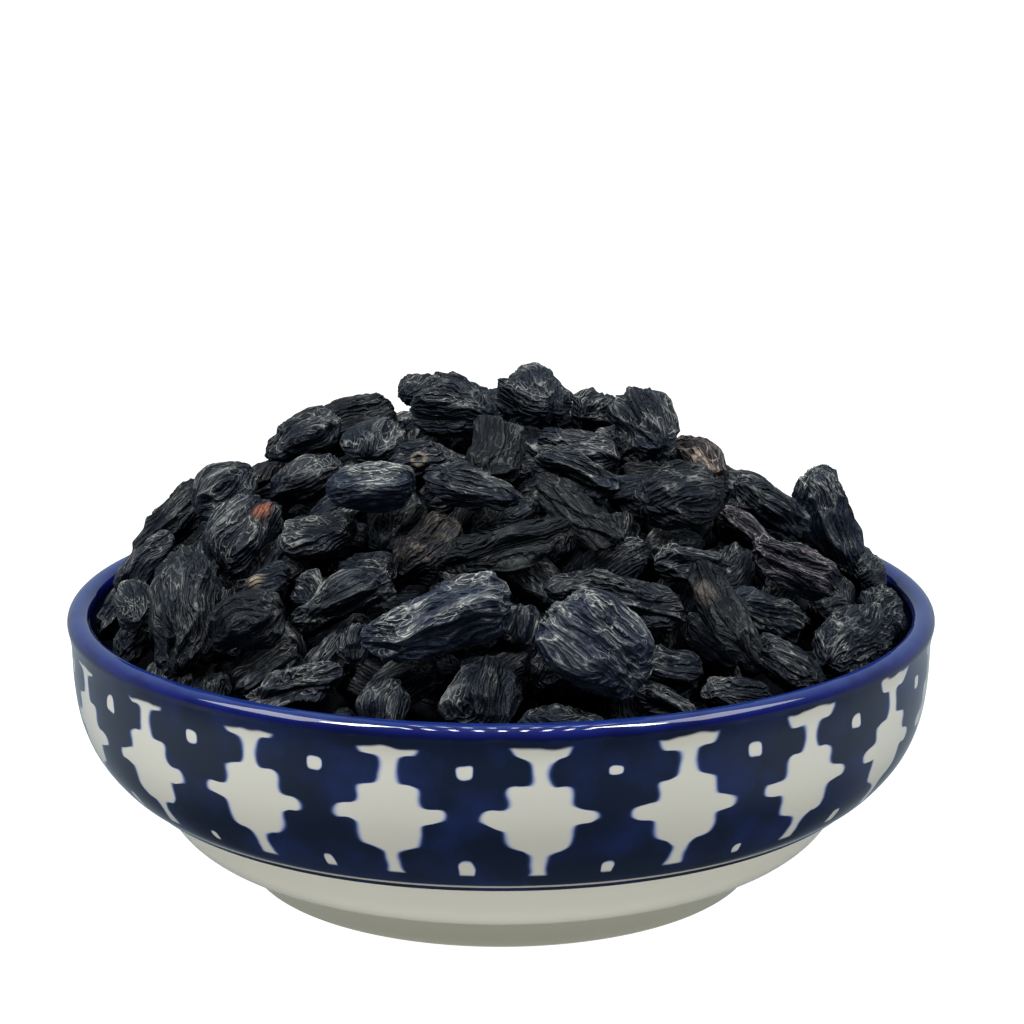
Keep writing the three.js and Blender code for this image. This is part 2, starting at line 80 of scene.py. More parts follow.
# Raisins that show at the front, as in the part: x, y, lift, length, width, spin, and pitch if it isn't 0.
FRONT_RAISINS = [
    # against the rim
    (-50, -17, -2, 11, 8, 60),
    (-37.8, -28.5, 2, 19, 11.5, 80, 15),
    (-30, -40.5, -2, 11, 8, 30),
    (-25.5, -45, 0.5, 14.5, 7.5, 8, 5),
    (-13.5, -50, 0.3, 9.5, 7.5, 75),
    (0.2, -50.5, 0.8, 12, 10.5, 75),
    (4.5, -52, 0.6, 12, 7, 5),
    (11, -48, 2, 15.5, 12.5, -38),
    (20.5, -48, -0.5, 8.5, 6, -20),
    (22.5, -44, -1.5, 9.5, 8.5, 10),
    (29, -43, -1, 10.5, 6.5, 5),
    (34.5, -38.5, 0.5, 11, 8.5, -10),
    (43.3, -27.5, 0.5, 18.5, 12, 48),
    (51.5, -9.5, -0.5, 12, 9.5, 65),
    # one row up
    (-28.5, -38.5, 0.5, 11, 9, 10),
    (-30.5, -30, -0.5, 9, 6.5, 0),
    (-19.5, -44, 0, 6.5, 5.5, 80),
    (-20, -38, 0.2, 15, 7.5, 15),
    (-7, -48.6, 0.8, 19.5, 10.5, 17),
    (3.2, -44, -1.5, 8, 6.5, 80),
    (16, -41.5, 0, 19, 9.5, -2),
    (27, -38.5, 1, 16, 7, -62),
    (36, -30, 0, 13.5, 8, 10),
    (37, -25, 1.2, 14, 8, 0),
    # middle of the slope
    (-32.5, -21, 0.3, 14, 12, 60),
    (-22, -25.5, 0.5, 12, 9.5, -12),
    (-15, -27.3, 1.3, 12.5, 10, -8),
    (-9.5, -35, 0.5, 11.5, 9, 50),
    (-6.5, -29, 2, 14, 7.5, -28),
    (1, -36.5, 1, 18.5, 8, 20),
    (10, -29, 1, 15.5, 7.5, -48),
    (25.5, -30.5, -0.5, 12, 7.5, 18),
    (23, -24, 2, 14.5, 10.5, 35),
    (32.5, -19.5, -0.5, 9, 7, -20),
    (35.5, -11, 1, 13, 8, 0),
    # upper slope
    (-40.5, -9, -1, 11, 8, 40),
    (-25, -14, -0.8, 11.5, 8.5, 0),
    (-17.5, -11.5, -0.5, 11.5, 9.5, 80),
    (-11.5, -16.5, -0.5, 8.5, 7, 0),
    (-7.5, -9, 1.2, 13, 11, -25),
    (-1, -21.5, 0.8, 14, 9.5, 80),
    (9.5, -21, 0, 13, 7.5, -22),
    (12.5, -14.5, 0, 12, 8.5, -15),
    (16, -9.5, 0.5, 15.5, 10, -75),
    (26.5, -6, -1, 13, 8, -55),
    # the skyline
    (-53, -3, 0, 12, 7.5, 20),
    (-43, -4.5, 0.7, 17.5, 9.5, 5),
    (-37, -8, 1.2, 10, 9, 20),
    (-32.5, -2, -0.8, 9.5, 8, 60),
    (-26.5, -3, 0.8, 12, 8.5, 0),
    (-20, 2, 0, 14, 11, 0),
    (-11, 4, 0.2, 9, 7.5, 60),
    (-4, 4, -0.8, 12, 9, 20),
    (4, -5, 0.9, 12.5, 10.5, -60),
    (12.5, 0, 0, 10, 7.5, 70),
    (37.5, 1.5, -1.2, 11.5, 8.5, -20),
    (42.8, -3, 2.6, 15, 11, 0, -30),
]

# Raisins that are mostly in the shade of the ones above, low at the front.
SHADED_RAISINS = [
    (-44, -33, -2, 10, 8, 50),
    (-36.5, -37, -2.5, 11, 8.5, 70),
    (-22, -41, -2.5, 11, 8, 60),
    (-19.5, -49, -2.5, 10, 7, 30),
    (-14, -41, -2.5, 10, 8, 0),
    (-7, -51.5, -2.5, 10, 7, -20),
    (9, -43, -2.5, 10, 8, 60),
    (15.5, -50.5, -2.5, 9, 6, 20),
    (18.5, -44.5, -2, 9, 8, 40),
    (33, -33, -2.5, 10, 8, -30),
    (36, -42.5, -2.5, 9, 6.5, 0),
    (41.5, -34, -2, 10, 8, 30),
    (48, -14, -1.5, 10, 8, 50),
    (-44.5, -12, -2, 11, 8, 30),
    (44, -7, -1.5, 11, 8, 30),
]

# Each raisin has ridges along it, so many round its girth, and as many dents.
FOLD_COUNTS = (2, 3, 5)
FOLD_SIZES = (0.05, 0.08, 0.09)
DENT_SPREAD = (0.18, 0.35)
BOW_LEVEL = 0.4

# How high the heap stands in sight of the front, as (x, height over the middle), and how that sight rises.
SKYLINE = [
    (-56, 41.5), (-48, 47.5), (-40, 54), (-32, 57.5), (-28, 60), (-24, 64),
    (-12, 66), (-4, 67.5), (4, 68), (8, 66), (16, 65.5), (20, 63),
    (24, 59), (32, 56.5), (40, 53), (46, 50), (54, 42), (57, 38.5),
]
SIGHT_SLOPE = 0.246
SKYLINE_GIRTH = 0.46
DEEPEST_LIFT = -5

# The raisins behind fall where there is room. The lower ones lie on a staggered grid, in the gaps.
BEHIND_FROM_Y = 2
BEHIND_TRIES = 4000
BEHIND_REACH = 52
BEHIND_OVERLAP = 1.6
LOWER_DROP = 5
LOWER_PITCH = 8.8
LOWER_ROW = 0.87
LOWER_STRAY = 1.5
LOWER_LENGTH = 1.4
LOWER_REACH = 52.5
LOWER_CLEAR = 5.4

# How the heap settles, and how raisins are pressed.
SETTLE_ROUNDS = 40
SETTLE_SHARE = 0.3
HOME_PULL = 0.06
CORE_CLEAR = 2
WALL_CLEAR = 2.4
NEAR_MARGIN = 4
WALL_MARGIN = 2.5
LEAST_SHARE = 0.35
LEAST_GIRTH = 0.2
FIT_ROUNDS = 10

# Layers of raisins that show only as the dark floor of the gaps, as (drop, clear distance), and how far
# under the heap's surface its core lies.
DEEP_LAYERS = ((4, 4.4), (6.5, 4.2), (9.5, 4.6), (12.5, 4.8))
DEEP_CORE = 19

# Wrinkles, in millimetres. Broad folds and thin ridges run along a raisin and wander round each other.
LUMP_SIZE = 5
LUMP_HEIGHT = 0.7
BLUNTNESS = 0.84
BROAD_SPACING = 4.2
BROAD_DEPTH = 1.0
FEWEST_BROAD = 4
BROAD_WANDER = 1.1
RIDGE_STRETCH = 0.15
RIDGE_SPACING = 1.25
RIDGE_DEPTH = 0.48
RIDGE_EDGE = 0.45
RIDGE_ROUNDING = 0.8
WARP_SIZE = 5
WARP_REACH = 1.2
WANDER_SIZE = 6.5
TIP_FADE = 0.2
PRESS_SHARPNESS = 10
# Each raisin has noise of its own: so many seeds further on, and its grain shifted so far for each seed.
SEED_STEP = 11
GRAIN_SHIFT = 17.3
# The share of the broad folds' depth that is the same all over. The rest comes and goes in patches.
EVEN_SHARE = 0.2
# A raisin that is longer than wide by this share has the usual folds. Slimmer ones have deeper ones.
USUAL_SLIMNESS = 0.6
SLIM_RANGE = (0.5, 1.7)
# The deepest wrinkle as a share of the distance to the middle line, and the share smoothed away by a mark.
DEEPEST_WRINKLE = 0.45
MARK_SMOOTHING = 0.7
# How far in from its edge a ring mark is highest, and its width, as shares of its radius.
RING_PLACE = 0.42
RING_WIDTH = 0.2

# The length of a mesh side round a raisin, in millimetres. Along it there are more, by RING_SHARE.
FRONT_SPACING = 0.3
BEHIND_SPACING = 0.42
SHADED_SPACING = 0.5
LOWER_SPACING = 0.65
DEEP_SPACING = 1.35
RING_SHARE = 1.25
FEWEST_RINGS = 10
FEWEST_SIDES = 20

# The distance between the finest ridges, in millimetres, and how strongly they stray.
FINE_PITCH = 0.68
FINE_STRAY = 4.4

# The colours of the skin, each as linear red, green, blue and alpha: bare and dusted with bloom. The dusted
# colours are used more where the skin faces up and the bare ones where it faces down, so they are also
# painted top light and painted shade. The pale crest colours are partly bloom and partly a painted
# highlight, and the groove colour is painted shade in the creases.
BARE_SHADED_FLANK = (0.0022, 0.0034, 0.0072, 1)
DUSTED_LIT_FLANK = (0.0178, 0.0198, 0.0228, 1)
BARE_SHADED_CREST = (0.015, 0.021, 0.031, 1)
DUSTED_LIT_CREST = (0.2, 0.207, 0.192, 1)
GROOVE_SHADE = (0.0006, 0.0011, 0.0036, 1)
SKIN_SHEEN = (0.8, 0.9, 1, 1)
# A pale raisin's ridges are brightened no further than this.
BRIGHTEST_CREST = (1.7, 1.7, 1.65)

# Raisins that are paler or darker than the usual, by number, as a share of the usual.
BRIGHTNESS = {
    2: 0.6, 6: 0.75, 8: 2.5, 12: 0.8, 15: 0.4, 19: 2.6, 21: 0.7, 22: 0.3, 27: 2.2, 28: 0.35,
    30: 0.25, 31: 0.25, 33: 0.6, 36: 0.4, 40: 0.9, 41: 0.3, 47: 0.6, 49: 0.9, 51: 0.45, 57: 2.2,
}

# Raisins whose colour stands apart, by number, as a share of the usual red, green and blue.
PURPLISH = (1.2, 1.0, 1.06)
BROWNISH = (1.3, 1.0, 0.86)
TONES = {24: PURPLISH, 34: PURPLISH, 36: PURPLISH, 28: BROWNISH, 45: BROWNISH, 49: BROWNISH}

# Marks where a stalk was, by the raisin's number. Facing is from its middle. Lengths are in millimetres.
Mark = namedtuple("Mark", ("kind", "facing", "radius", "height", "colour"))
MARKS = {
    16: Mark("tip", (-0.7, -0.55, 0.5), 1.9, 0.35, (0.2, 0.165, 0.12)),
    22: Mark("tip", (-0.75, -0.1, 0.75), 2.4, 0.3, (0.07, 0.062, 0.052)),
    25: Mark("scar", (0.5, -0.05, 0.93), 1.8, -0.2, (0.19, 0.065, 0.035)),
    39: Mark("ring", (0, -0.97, 0.2), 1.5, 0.4, (0.12, 0.1, 0.075)),
}

# The pattern, in degrees round the bowl and millimetres up it. A star's half-width is given at each height.
STARS = 20
STAR_PITCH = 18
STAR_FIRST = 4.8
STAR_OUTLINE = [
    (17.6, 1.1), (18.4, 0.92), (20.6, 0.92), (21.4, 1.7), (21.9, 3.0),
    (22.6, 3.8), (25.0, 4.1), (25.5, 6.4), (26.2, 6.9), (26.9, 6.6),
    (27.5, 4.3), (28.0, 3.8), (29.8, 3.75), (30.3, 3.0), (30.7, 1.4),
    (31.4, 1.05), (33.4, 1.05), (34.1, 1.7), (34.5, 3.2), (35.6, 3.9),
]
STAR_LOW = 17.6
STAR_HIGH = 35.6
STAR_WIDEST = 8
# The height of the dots between the stars, and half their width and height.
UPPER_DOT = (32.2, 0.98, 0.95)
LOWER_DOT = (18.3, 1.1, 1.75)
# The upper dot with this number is flatter than the others, by so much each way.
FLAT_DOT = 20
FLATTENED = 0.5
# The lower dots have this share of that size, and grow and shrink by the second share over every four dots.
# The dot with this number is the largest.
DOT_SHARE = 0.72
DOT_SWELL = 0.24
LARGEST_DOT = 19
# The stars' tops are lowest so many degrees to the left of the front, by so much, and highest opposite.
TOPS_LEAN = 78
TOPS_SHIFT = 0.85
# The brush's unevenness: of the stars' heights, of their sides, of the lip's edge and of its paler top,
# which is partly thin glaze and partly painted sheen. The sides' is in degrees and the rest in millimetres.
STAR_WOBBLE = 1.5
STAR_DRIFT = 1.2
LIP_WOBBLE = 0.9
THIN_AND_SHEEN_WOBBLE = 1.6

# The heights between which one colour passes into another, in millimetres.
STARS_START = (17.4, 17.9)
STARS_END = (35.75, 35.3)
LIP_EDGE = (36.2, 36.7)
LIP_PAINTED_SHADE = (36.4, 37.3)
LIP_THIN_AND_SHEEN = (37.3, 38.3)
HAIRLINE_START = (14.75, 14.9)
HAIRLINE_END = (15.4, 15.25)
LEDGE_EDGE = (14.2, 14.0)
FOOT_START = (4.9, 4.4)
INNER_COBALT = (33.0, 36.0)

# The glaze's colours. A pair is the darkest and the brightest of a wash.
NAVY = ((0.0055, 0.0095, 0.021, 1), (0.008, 0.0145, 0.052, 1))
NAVY_EDGE = (0.016, 0.031, 0.11, 1)
COBALT = ((0.0012, 0.0022, 0.04, 1), (0.0026, 0.0055, 0.07, 1))
# This cobalt is painted shade along the lip's lower edge.
COBALT_PAINTED_SHADE = (0.0016, 0.0028, 0.02, 1)
# A paler cobalt for the lip's top: partly thin glaze and partly painted sheen.
THIN_COBALT_AND_SHEEN = (0.004, 0.013, 0.08, 1)
CREAM = (0.405, 0.4, 0.35, 1)
BLUED_CREAM = (0.25, 0.29, 0.38, 1)
# The off-white below the ledge, painted lighter than the cream to make up for the ledge's shade: painted
# light.
LIT_PLAIN_GLAZE = (0.52, 0.51, 0.44, 1)
FOOT_EDGE = (0.37, 0.37, 0.3, 1)
SPECK = (0.06, 0.05, 0.05, 1)

# The colours of the heap's core, painted nearly black as the shade deep in the gaps.
CORE_DARK = (0.0008, 0.001, 0.0025, 1)
CORE_LIGHT = (0.004, 0.005, 0.008, 1)

# How finely the bowl and the heap's core are turned.
UNDERSIDE_STEPS = 3
CURVE_STEPS = 4
LIP_STEPS = 20
CORE_RINGS = 24
CORE_SIDES = 96

# The floor is a pale square that glows, and the backdrop a dome round the bowl, in millimetres.
FLOOR_HALF = 3000
FLOOR_GLOW = 1.0
FLOOR_GREY = (0.15, 0.15, 0.15, 1)
WHITE = (1, 1, 1, 1)
BLACK = (0, 0, 0, 1)
DOME_RADIUS = 2900
DOME_RINGS = 24
DOME_SIDES = 48

# Soft lamps round the bowl: name, place in millimetres, size in metres and power in watts.
LAMPS = (
    ("softbox_left", (-420, -140, 500), (0.35, 0.3), 2.4),
    ("softbox_right", (400, -120, 520), (0.35, 0.3), 2.0),
    ("strip_left", (-296, -252, 591), (0.1, 0.22), 3.4),
    ("strip_right", (270, -252, 591), (0.08, 0.22), 2.8),
)
LAMP_AIM = (0, 0, 30)

# Rows of small lamps overhead, which the lip mirrors as dashes: y and z, pitch, size and power. SPOT_AIM is
# the y and z that they look at, near the front of the lip.
SPOTS = 9
SPOT_ROWS = (
    ((-330, 686), 55, (0.017, 0.15), 0.24),
    ((30, 738), 37, (0.013, 0.12), 0.06),
)
SPOT_AIM = (-50, 38)

# How bright the surroundings are in front of the bowl and behind it, how much more straight above it, and
# below the level at the front and elsewhere. SKY is their colour.
FRONT_GLOW = 0.08
BACK_GLOW = 0.5
TOP_GLOW = 0.35
LOW_FRONT_GLOW = 0.05
LOW_SIDE_GLOW = 0.42
SKY = (0.74, 0.88, 1, 1)


# Places and directions are plain tuples of three.
def plus(a, b, share=1.0):
    return (a[0] + b[0] * share, a[1] + b[1] * share, a[2] + b[2] * share)


def dot(a, b):
    return a[0] * b[0] + a[1] * b[1] + a[2] * b[2]


def cross(a, b):
    return (a[1] * b[2] - a[2] * b[1], a[2] * b[0] - a[0] * b[2], a[0] * b[1] - a[1] * b[0])


def scaled(a, share):
    return plus((0, 0, 0), a, share)


def unit(a):
    return scaled(a, 1 / math.sqrt(dot(a, a)))


def between(a, b, angle):
    """The direction at an angle from a towards b, which is square to a."""
    return plus(scaled(a, math.cos(angle)), b, math.sin(angle))


def hold(value, limit):
    return min(max(value, -limit), limit)


class Draws:
    """A seeded draw between two values, the same on every run and the same as the part's."""

    def __init__(self, seed):
        self.seed = seed

    def __call__(self, low, high):
        self.seed = (self.seed * 1664525 + 1013904223) % 4294967296
        return low + (high - low) * self.seed / 4294967296


draw = Draws(20240)

LIP_RADIUS = LIP_THICKNESS / 2
LIP_CENTRE = RIM_RADIUS - LIP_RADIUS
LIP_FOOT = BOWL_HEIGHT - LIP_DEPTH
RING_RADIUS = FOOT_RADIUS - FOOT_WIDTH

# The bowl's profile as (radius, height), in stretches that are smooth within themselves.
UNDERSIDE = [
    (0, FLOOR_UNDERSIDE),
    (RING_RADIUS - 1.6, FLOOR_UNDERSIDE),
    (RING_RADIUS - 0.9, FLOOR_UNDERSIDE - 0.2),
    (RING_RADIUS - 0.5, FLOOR_UNDERSIDE - 1),
    (RING_RADIUS - 0.2, 0.5),
    (RING_RADIUS + 0.3, 0),
]
FOOT = [
    (FOOT_RADIUS - 0.8, 0),
    (FOOT_RADIUS - 0.2, 0.25),
    (FOOT_RADIUS + 0.1, 1),
    (FOOT_RADIUS + 0.4, FOOT_HEIGHT - 1),
    (FOOT_RADIUS + 1.2, FOOT_HEIGHT - 0.1),
    (BODY_RADIUS - 5.4, 6.1),
    (BODY_RADIUS - 3, 7.4),
    (BODY_RADIUS - 1.2, 9.4),
    (BODY_RADIUS - 0.2, 12),
    (BODY_RADIUS + 0.1, LEDGE_HEIGHT - 1.1),
    (BODY_RADIUS + 0.7, LEDGE_HEIGHT - 0.6),
]
WALL = [
    (LEDGE_RADIUS - 1.2, LEDGE_HEIGHT - 0.5),
    (LEDGE_RADIUS - 0.4, LEDGE_HEIGHT - 0.3),
    (LEDGE_RADIUS + 0.3, LEDGE_HEIGHT + 0.4),
    (54.4, 16.6),
    (57, 20),
    (58.6, 24),
    (59.3, 28.5),
    (RIM_RADIUS - LIP_BULGE, LIP_FOOT - 0.8),
]
INSIDE = [
    (RIM_RADIUS - LIP_THICKNESS - 0.2, LIP_FOOT),
    (56.2, 29),
    (55.3, 24),
    (53.2, 19.5),
    (49, 14.4),
    (42.5, 10.2),
    (34, 7.6),
    (22, FLOOR_TOP),
    (0, FLOOR_TOP - 0.2),
]


def room_radius(z):
    """The room inside the bowl: its radius at height z, carried straight up above the rim."""
    heights = [height for _, height in INSIDE[::-1]][1:]
    radii = [radius for radius, _ in INSIDE[::-1]][1:]
    return np.interp(z, heights, radii) - GAP


def heap_top(r):
    return HEAP_EDGE + HEAP_RISE * (1 - (r / HEAP_RADIUS) ** HEAP_FLATNESS)


def heap_normal(x, y):
    r = math.hypot(x, y)
    slope = HEAP_RISE * HEAP_FLATNESS * (r / HEAP_RADIUS) ** (HEAP_FLATNESS - 1) / HEAP_RADIUS
    away = slope / r if r > 0 else 0
    return unit((x * away, y * away, 1))


def height_over_core(point):
    """How far a point is above the core's surface, square to it."""
    over = point[2] - heap_top(math.hypot(point[0], point[1])) + CORE_DEPTH
    return over * heap_normal(point[0], point[1])[2]


class Raisin:
    """A raisin lying on the heap, with everything that its form needs."""

    def __init__(self, x, y, lift, length, width, spin, pitch=0):
        normal = heap_normal(x, y)
        level = (x, y, heap_top(math.hypot(x, y)) - CENTRE_DEPTH)
        self.home = plus(level, normal, lift)
        self.centre = self.home
        across = unit(plus((1, 0, 0), normal, -normal[0]))
        up = cross(normal, across)
        spin, pitch = math.radians(spin), math.radians(pitch)
        lying = between(across, up, spin)
        roll = math.radians(draw(-25, 25))
        e1 = between(lying, normal, pitch)
        side = unit(cross(normal, lying))
        e2 = between(side, cross(e1, side), roll)
        self.axes = (e1, e2, cross(e1, e2))
        self.length = length
        self.width = width
        self.thickness = width * draw(0.72, 0.92)
        self.reach = (length - width) / 2
        self.fullness = draw(0.4, 0.56)
        self.taper = draw(-0.2, 0.2)
        self.bend = draw(-0.1, 0.1)
        self.sag = draw(-0.08, 0.08)
        self.folds = [
            (count, draw(0.5, 1) * size, math.radians(draw(0, 360)), draw(-1, 1))
            for count, size in zip(FOLD_COUNTS, FOLD_SIZES)
        ]
        self.dents = [(draw(-0.7, 0.7), math.radians(draw(0, 360)), draw(0.1, 0.32)) for _ in FOLD_COUNTS]
        self.walls = []
        self.still = False
        self.mark = None

    def tip(self, end):
        return plus(self.centre, self.axes[0], end * self.reach)

    def middle(self, point):
        along = dot(plus(point, self.centre, -1), self.axes[0])
        return plus(self.centre, self.axes[0], hold(along, self.reach))

    def girth_towards(self, normal):
        wide = dot(normal, self.axes[1]) * self.width / 2
        high = dot(normal, self.axes[2]) * self.thickness / 2
        long = dot(normal, self.axes[0]) * self.width / 2
        return math.sqrt(wide * wide + high * high + long * long)

    def keep_in_heap(self):
        """Keeps the middle line above the core and inside the bowl."""
        for end in (-1, 1):
            tip = self.tip(end)
            above = height_over_core(tip)
            if above < CORE_CLEAR:
                self.centre = plus(self.centre, heap_normal(tip[0], tip[1]), CORE_CLEAR - above)
        for end in (-1, 1):
            tip = self.tip(end)
            r = math.hypot(tip[0], tip[1])
            too_far = max(r + WALL_CLEAR - float(room_radius(tip[2])), 0)
            self.centre = plus(self.centre, (tip[0] / r, tip[1] / r, 0), -too_far)


def contact(a, b):
    """Where two raisins' middle lines come nearest, and how deep their skins would overlap there."""
    apart = plus(a.centre, b.centre, -1)
    lean = dot(a.axes[0], b.axes[0])
    on_a = dot(a.axes[0], apart)
    on_b = dot(b.axes[0], apart)
    flat = 1 - lean * lean
    s = hold((lean * on_b - on_a) / flat, a.reach) if flat > 1e-6 else 0
    t = hold(lean * s + on_b, b.reach)
    s = hold(lean * t - on_a, a.reach)
    point_a = plus(a.centre, a.axes[0], s)
    normal = plus(plus(b.centre, b.axes[0], t), point_a, -1)
    distance = max(math.sqrt(dot(normal, normal)), 1e-3)
    normal = scaled(normal, 1 / distance)
    girths = a.girth_towards(normal), b.girth_towards(normal)
    return point_a, normal, distance, girths, sum(girths) + GAP - distance


def near_pairs(raisins):
    """Every two raisins that could come to touch."""
    pairs = []
    for i, a in enumerate(raisins):
        for b in raisins[i + 1:]:
            if math.dist(a.centre, b.centre) < (a.length + b.length) / 2 + NEAR_MARGIN:
                pairs.append((a, b))
    return pairs


def settle(raisins):
    """Lets the raisins push each other apart a little, while each is drawn back to where it lies."""
    pairs = [(a, b) for a, b in near_pairs(raisins) if not (a.still and b.still)]
    for _ in range(SETTLE_ROUNDS):
        for a, b in pairs:
            _, normal, _, _, depth = contact(a, b)
            if depth <= 0:
                continue
            push = depth * SETTLE_SHARE * (2 if a.still or b.still else 1)
            if not a.still:
                a.centre = plus(a.centre, normal, -push)
            if not b.still:
                b.centre = plus(b.centre, normal, push)
        for raisin in raisins:
            if not raisin.still:
                back = plus(raisin.home, raisin.centre, -1)
                raisin.centre = plus(raisin.centre, back, HOME_PULL)
                raisin.keep_in_heap()
    for raisin in raisins:
        raisin.still = True


def press_together(a, b):
    """Puts a flat wall, GAP wide, between two raisins whose skins would overlap."""
    point_a, normal, distance, (girth_a, girth_b), depth = contact(a, b)
    if depth <= -WALL_MARGIN:
        return
    least = LEAST_SHARE * distance
    wanted = (distance + girth_a - girth_b) / 2
    at = dot(normal, point_a) + min(max(wanted, least), distance - least)
    a.walls.append((normal, at - GAP / 2))
    b.walls.append((scaled(normal, -1), -at - GAP / 2))


def press_on_core(raisin):
    """Puts the core's surface, as a flat wall, under a raisin."""
    x, y, _ = raisin.centre
    normal = heap_normal(x, y)
    surface = (x, y, heap_top(math.hypot(x, y)) - CORE_DEPTH)
    raisin.walls.append((scaled(normal, -1), -dot(normal, surface) - GAP))


def lift_in_sight(x, y, width):
    """The most lift that keeps a raisin's top beneath the skyline, but never less than DEEPEST_LIFT."""
    skyline = float(np.interp(x, [place for place, _ in SKYLINE], [height for _, height in SKYLINE]))
    over = skyline - SIGHT_SLOPE * y - SKYLINE_GIRTH * width - heap_top(math.hypot(x, y)) + CENTRE_DEPTH
    return max(over, DEEPEST_LIFT)


def fall_behind(placed):
    """The raisins behind the front ones: each try that finds room is kept."""
    behind = []
    for _ in range(BEHIND_TRIES):
        angle = math.radians(draw(0, 360))
        r = BEHIND_REACH * math.sqrt(draw(0, 1))
        x, y = r * math.cos(angle), r * math.sin(angle)
        width = draw(7, 10.5)
        length = width * draw(1.2, 1.75)
        spin, pitch = draw(0, 180), draw(-12, 12)
        lift = min(draw(-1, 2), lift_in_sight(x, y, width))
        if y < BEHIND_FROM_Y:
            continue
        raisin = Raisin(x, y, lift, length, width, spin, pitch)
        if all(contact(raisin, other)[4] < BEHIND_OVERLAP for other in placed + behind):
            behind.append(raisin)
    return behind


def fill_gaps(placed, drop, clear):
    """A layer of raisins further down, on a staggered grid, wherever no raisin above hides them."""
    lower = []
    rows = math.ceil(LOWER_REACH / LOWER_PITCH)
    for row in range(-rows, rows + 1):
        for column in range(-rows, rows + 1):
            x = (column + math.fmod(row, 2) / 2) * LOWER_PITCH + draw(-LOWER_STRAY, LOWER_STRAY)
            y = row * LOWER_PITCH * LOWER_ROW + draw(-LOWER_STRAY, LOWER_STRAY)
            width = draw(7.5, 9.5)
            spin, pitch = draw(0, 180), draw(-15, 15)
            raisin = Raisin(x, y, -drop, width * LOWER_LENGTH, width, spin, pitch)
            hidden = any(math.dist(other.middle(raisin.centre), raisin.centre) < clear for other in placed)
            if math.hypot(x, y) < LOWER_REACH and not hidden:
                lower.append(raisin)
    return lower


def pile_up():
    """The whole heap, by the part's rule: the front, behind, shaded and lower raisins."""
    front = [Raisin(*row) for row in FRONT_RAISINS]
    behind = fall_behind(front)
    settle(front + behind)
    shaded = [Raisin(*row) for row in SHADED_RAISINS]
    upper = front + behind + shaded
    settle(upper)
    lower = fill_gaps(upper, LOWER_DROP, LOWER_CLEAR)
    heap = upper + lower
    settle(heap)
    for a, b in near_pairs(heap):
        press_together(a, b)
    for raisin in front:
        press_on_core(raisin)
    deep = []
    for drop, clear in DEEP_LAYERS:
        deep += fill_gaps(heap + deep, drop, clear)
    for a, b in near_pairs(heap + deep):
        if a in deep or b in deep:
            press_together(a, b)
    return front, behind, shaded, lower, deep


def lattice(cell, seed):
    """A fixed scatter of values from -1 to 1 on whole-number places, by mixing the bits of each place."""
    n = cell[..., 0] * 374761393 + cell[..., 1] * 668265263 + cell[..., 2] * 2246822519 + seed * 3266489917
    n = (n ^ (n >> 13)) & 0xFFFFFFFF
    n = (n * 1274126177) & 0xFFFFFFFF
    n = n ^ (n >> 16)
    return n / 2147483647.5 - 1


def noise(points, seed):
    """Smooth noise from -1 to 1 with a cell of one unit."""
    low = np.floor(points)
    part = points - low
    part = part * part * (3 - 2 * part)
    low = low.astype(np.int64)
    total = 0
    for corner in np.ndindex(2, 2, 2):
        corner = np.array(corner)
        share = np.prod(np.where(corner == 1, part, 1 - part), axis=-1)
        total = total + share * lattice(low + corner, seed)
    return total


def skin(raisin, s, turn):
    """The raisin's skin before its neighbours press on it. s runs from tip to tip, turn goes round."""
    girth = np.maximum(1 - s * s, 0) ** (raisin.fullness * BLUNTNESS) * (1 + raisin.taper * s)
    for count, size, start, twist in raisin.folds:
        girth = girth * (1 + size * np.cos(count * turn + start + twist * s))
    for at, start, depth in raisin.dents:
        along = (s - at) ** 2 / DENT_SPREAD[0]
        around = (1 - np.cos(turn - start)) / DENT_SPREAD[1]
        girth = girth * (1 - depth * np.exp(-along - around))
    bow = raisin.width * (s * s - BOW_LEVEL)
    long = raisin.length / 2 * s
    wide = raisin.width / 2 * girth * np.cos(turn) + raisin.bend * bow
    high = raisin.thickness / 2 * girth * np.sin(turn) + raisin.sag * bow
    return np.stack([long, wide, high], axis=-1)


def pressed(raisin, points):
    """Draws the skin in towards the middle line until it clears every neighbour and the bowl."""
    centre, axis = np.array(raisin.centre), np.array(raisin.axes[0])
    along = np.clip((points - centre) @ axis, -raisin.reach, raisin.reach)
    middle = centre + along[..., None] * axis
    out = points - middle
    crowd = np.ones(points.shape[:-1])
    for normal, offset in raisin.walls:
        normal = np.array(normal)
        room = np.maximum(offset - middle @ normal, LEAST_GIRTH)
        crowd = crowd + np.maximum(out @ normal / room, 0) ** PRESS_SHARPNESS
    out = out * crowd[..., None] ** (-1 / PRESS_SHARPNESS)
    inside, outside = np.zeros(crowd.shape), np.ones(crowd.shape)
    for _ in range(FIT_ROUNDS):
        keep = (inside + outside) / 2
        place = middle + out * keep[..., None]
        fits = np.hypot(place[..., 0], place[..., 1]) < room_radius(place[..., 2])
        inside = np.where(fits, keep, inside)
        outside = np.where(fits, outside, keep)
    full = middle + out
    whole = np.hypot(full[..., 0], full[..., 1]) < room_radius(full[..., 2])
    keep = np.where(whole, 1, inside)
    return middle, out * keep[..., None]


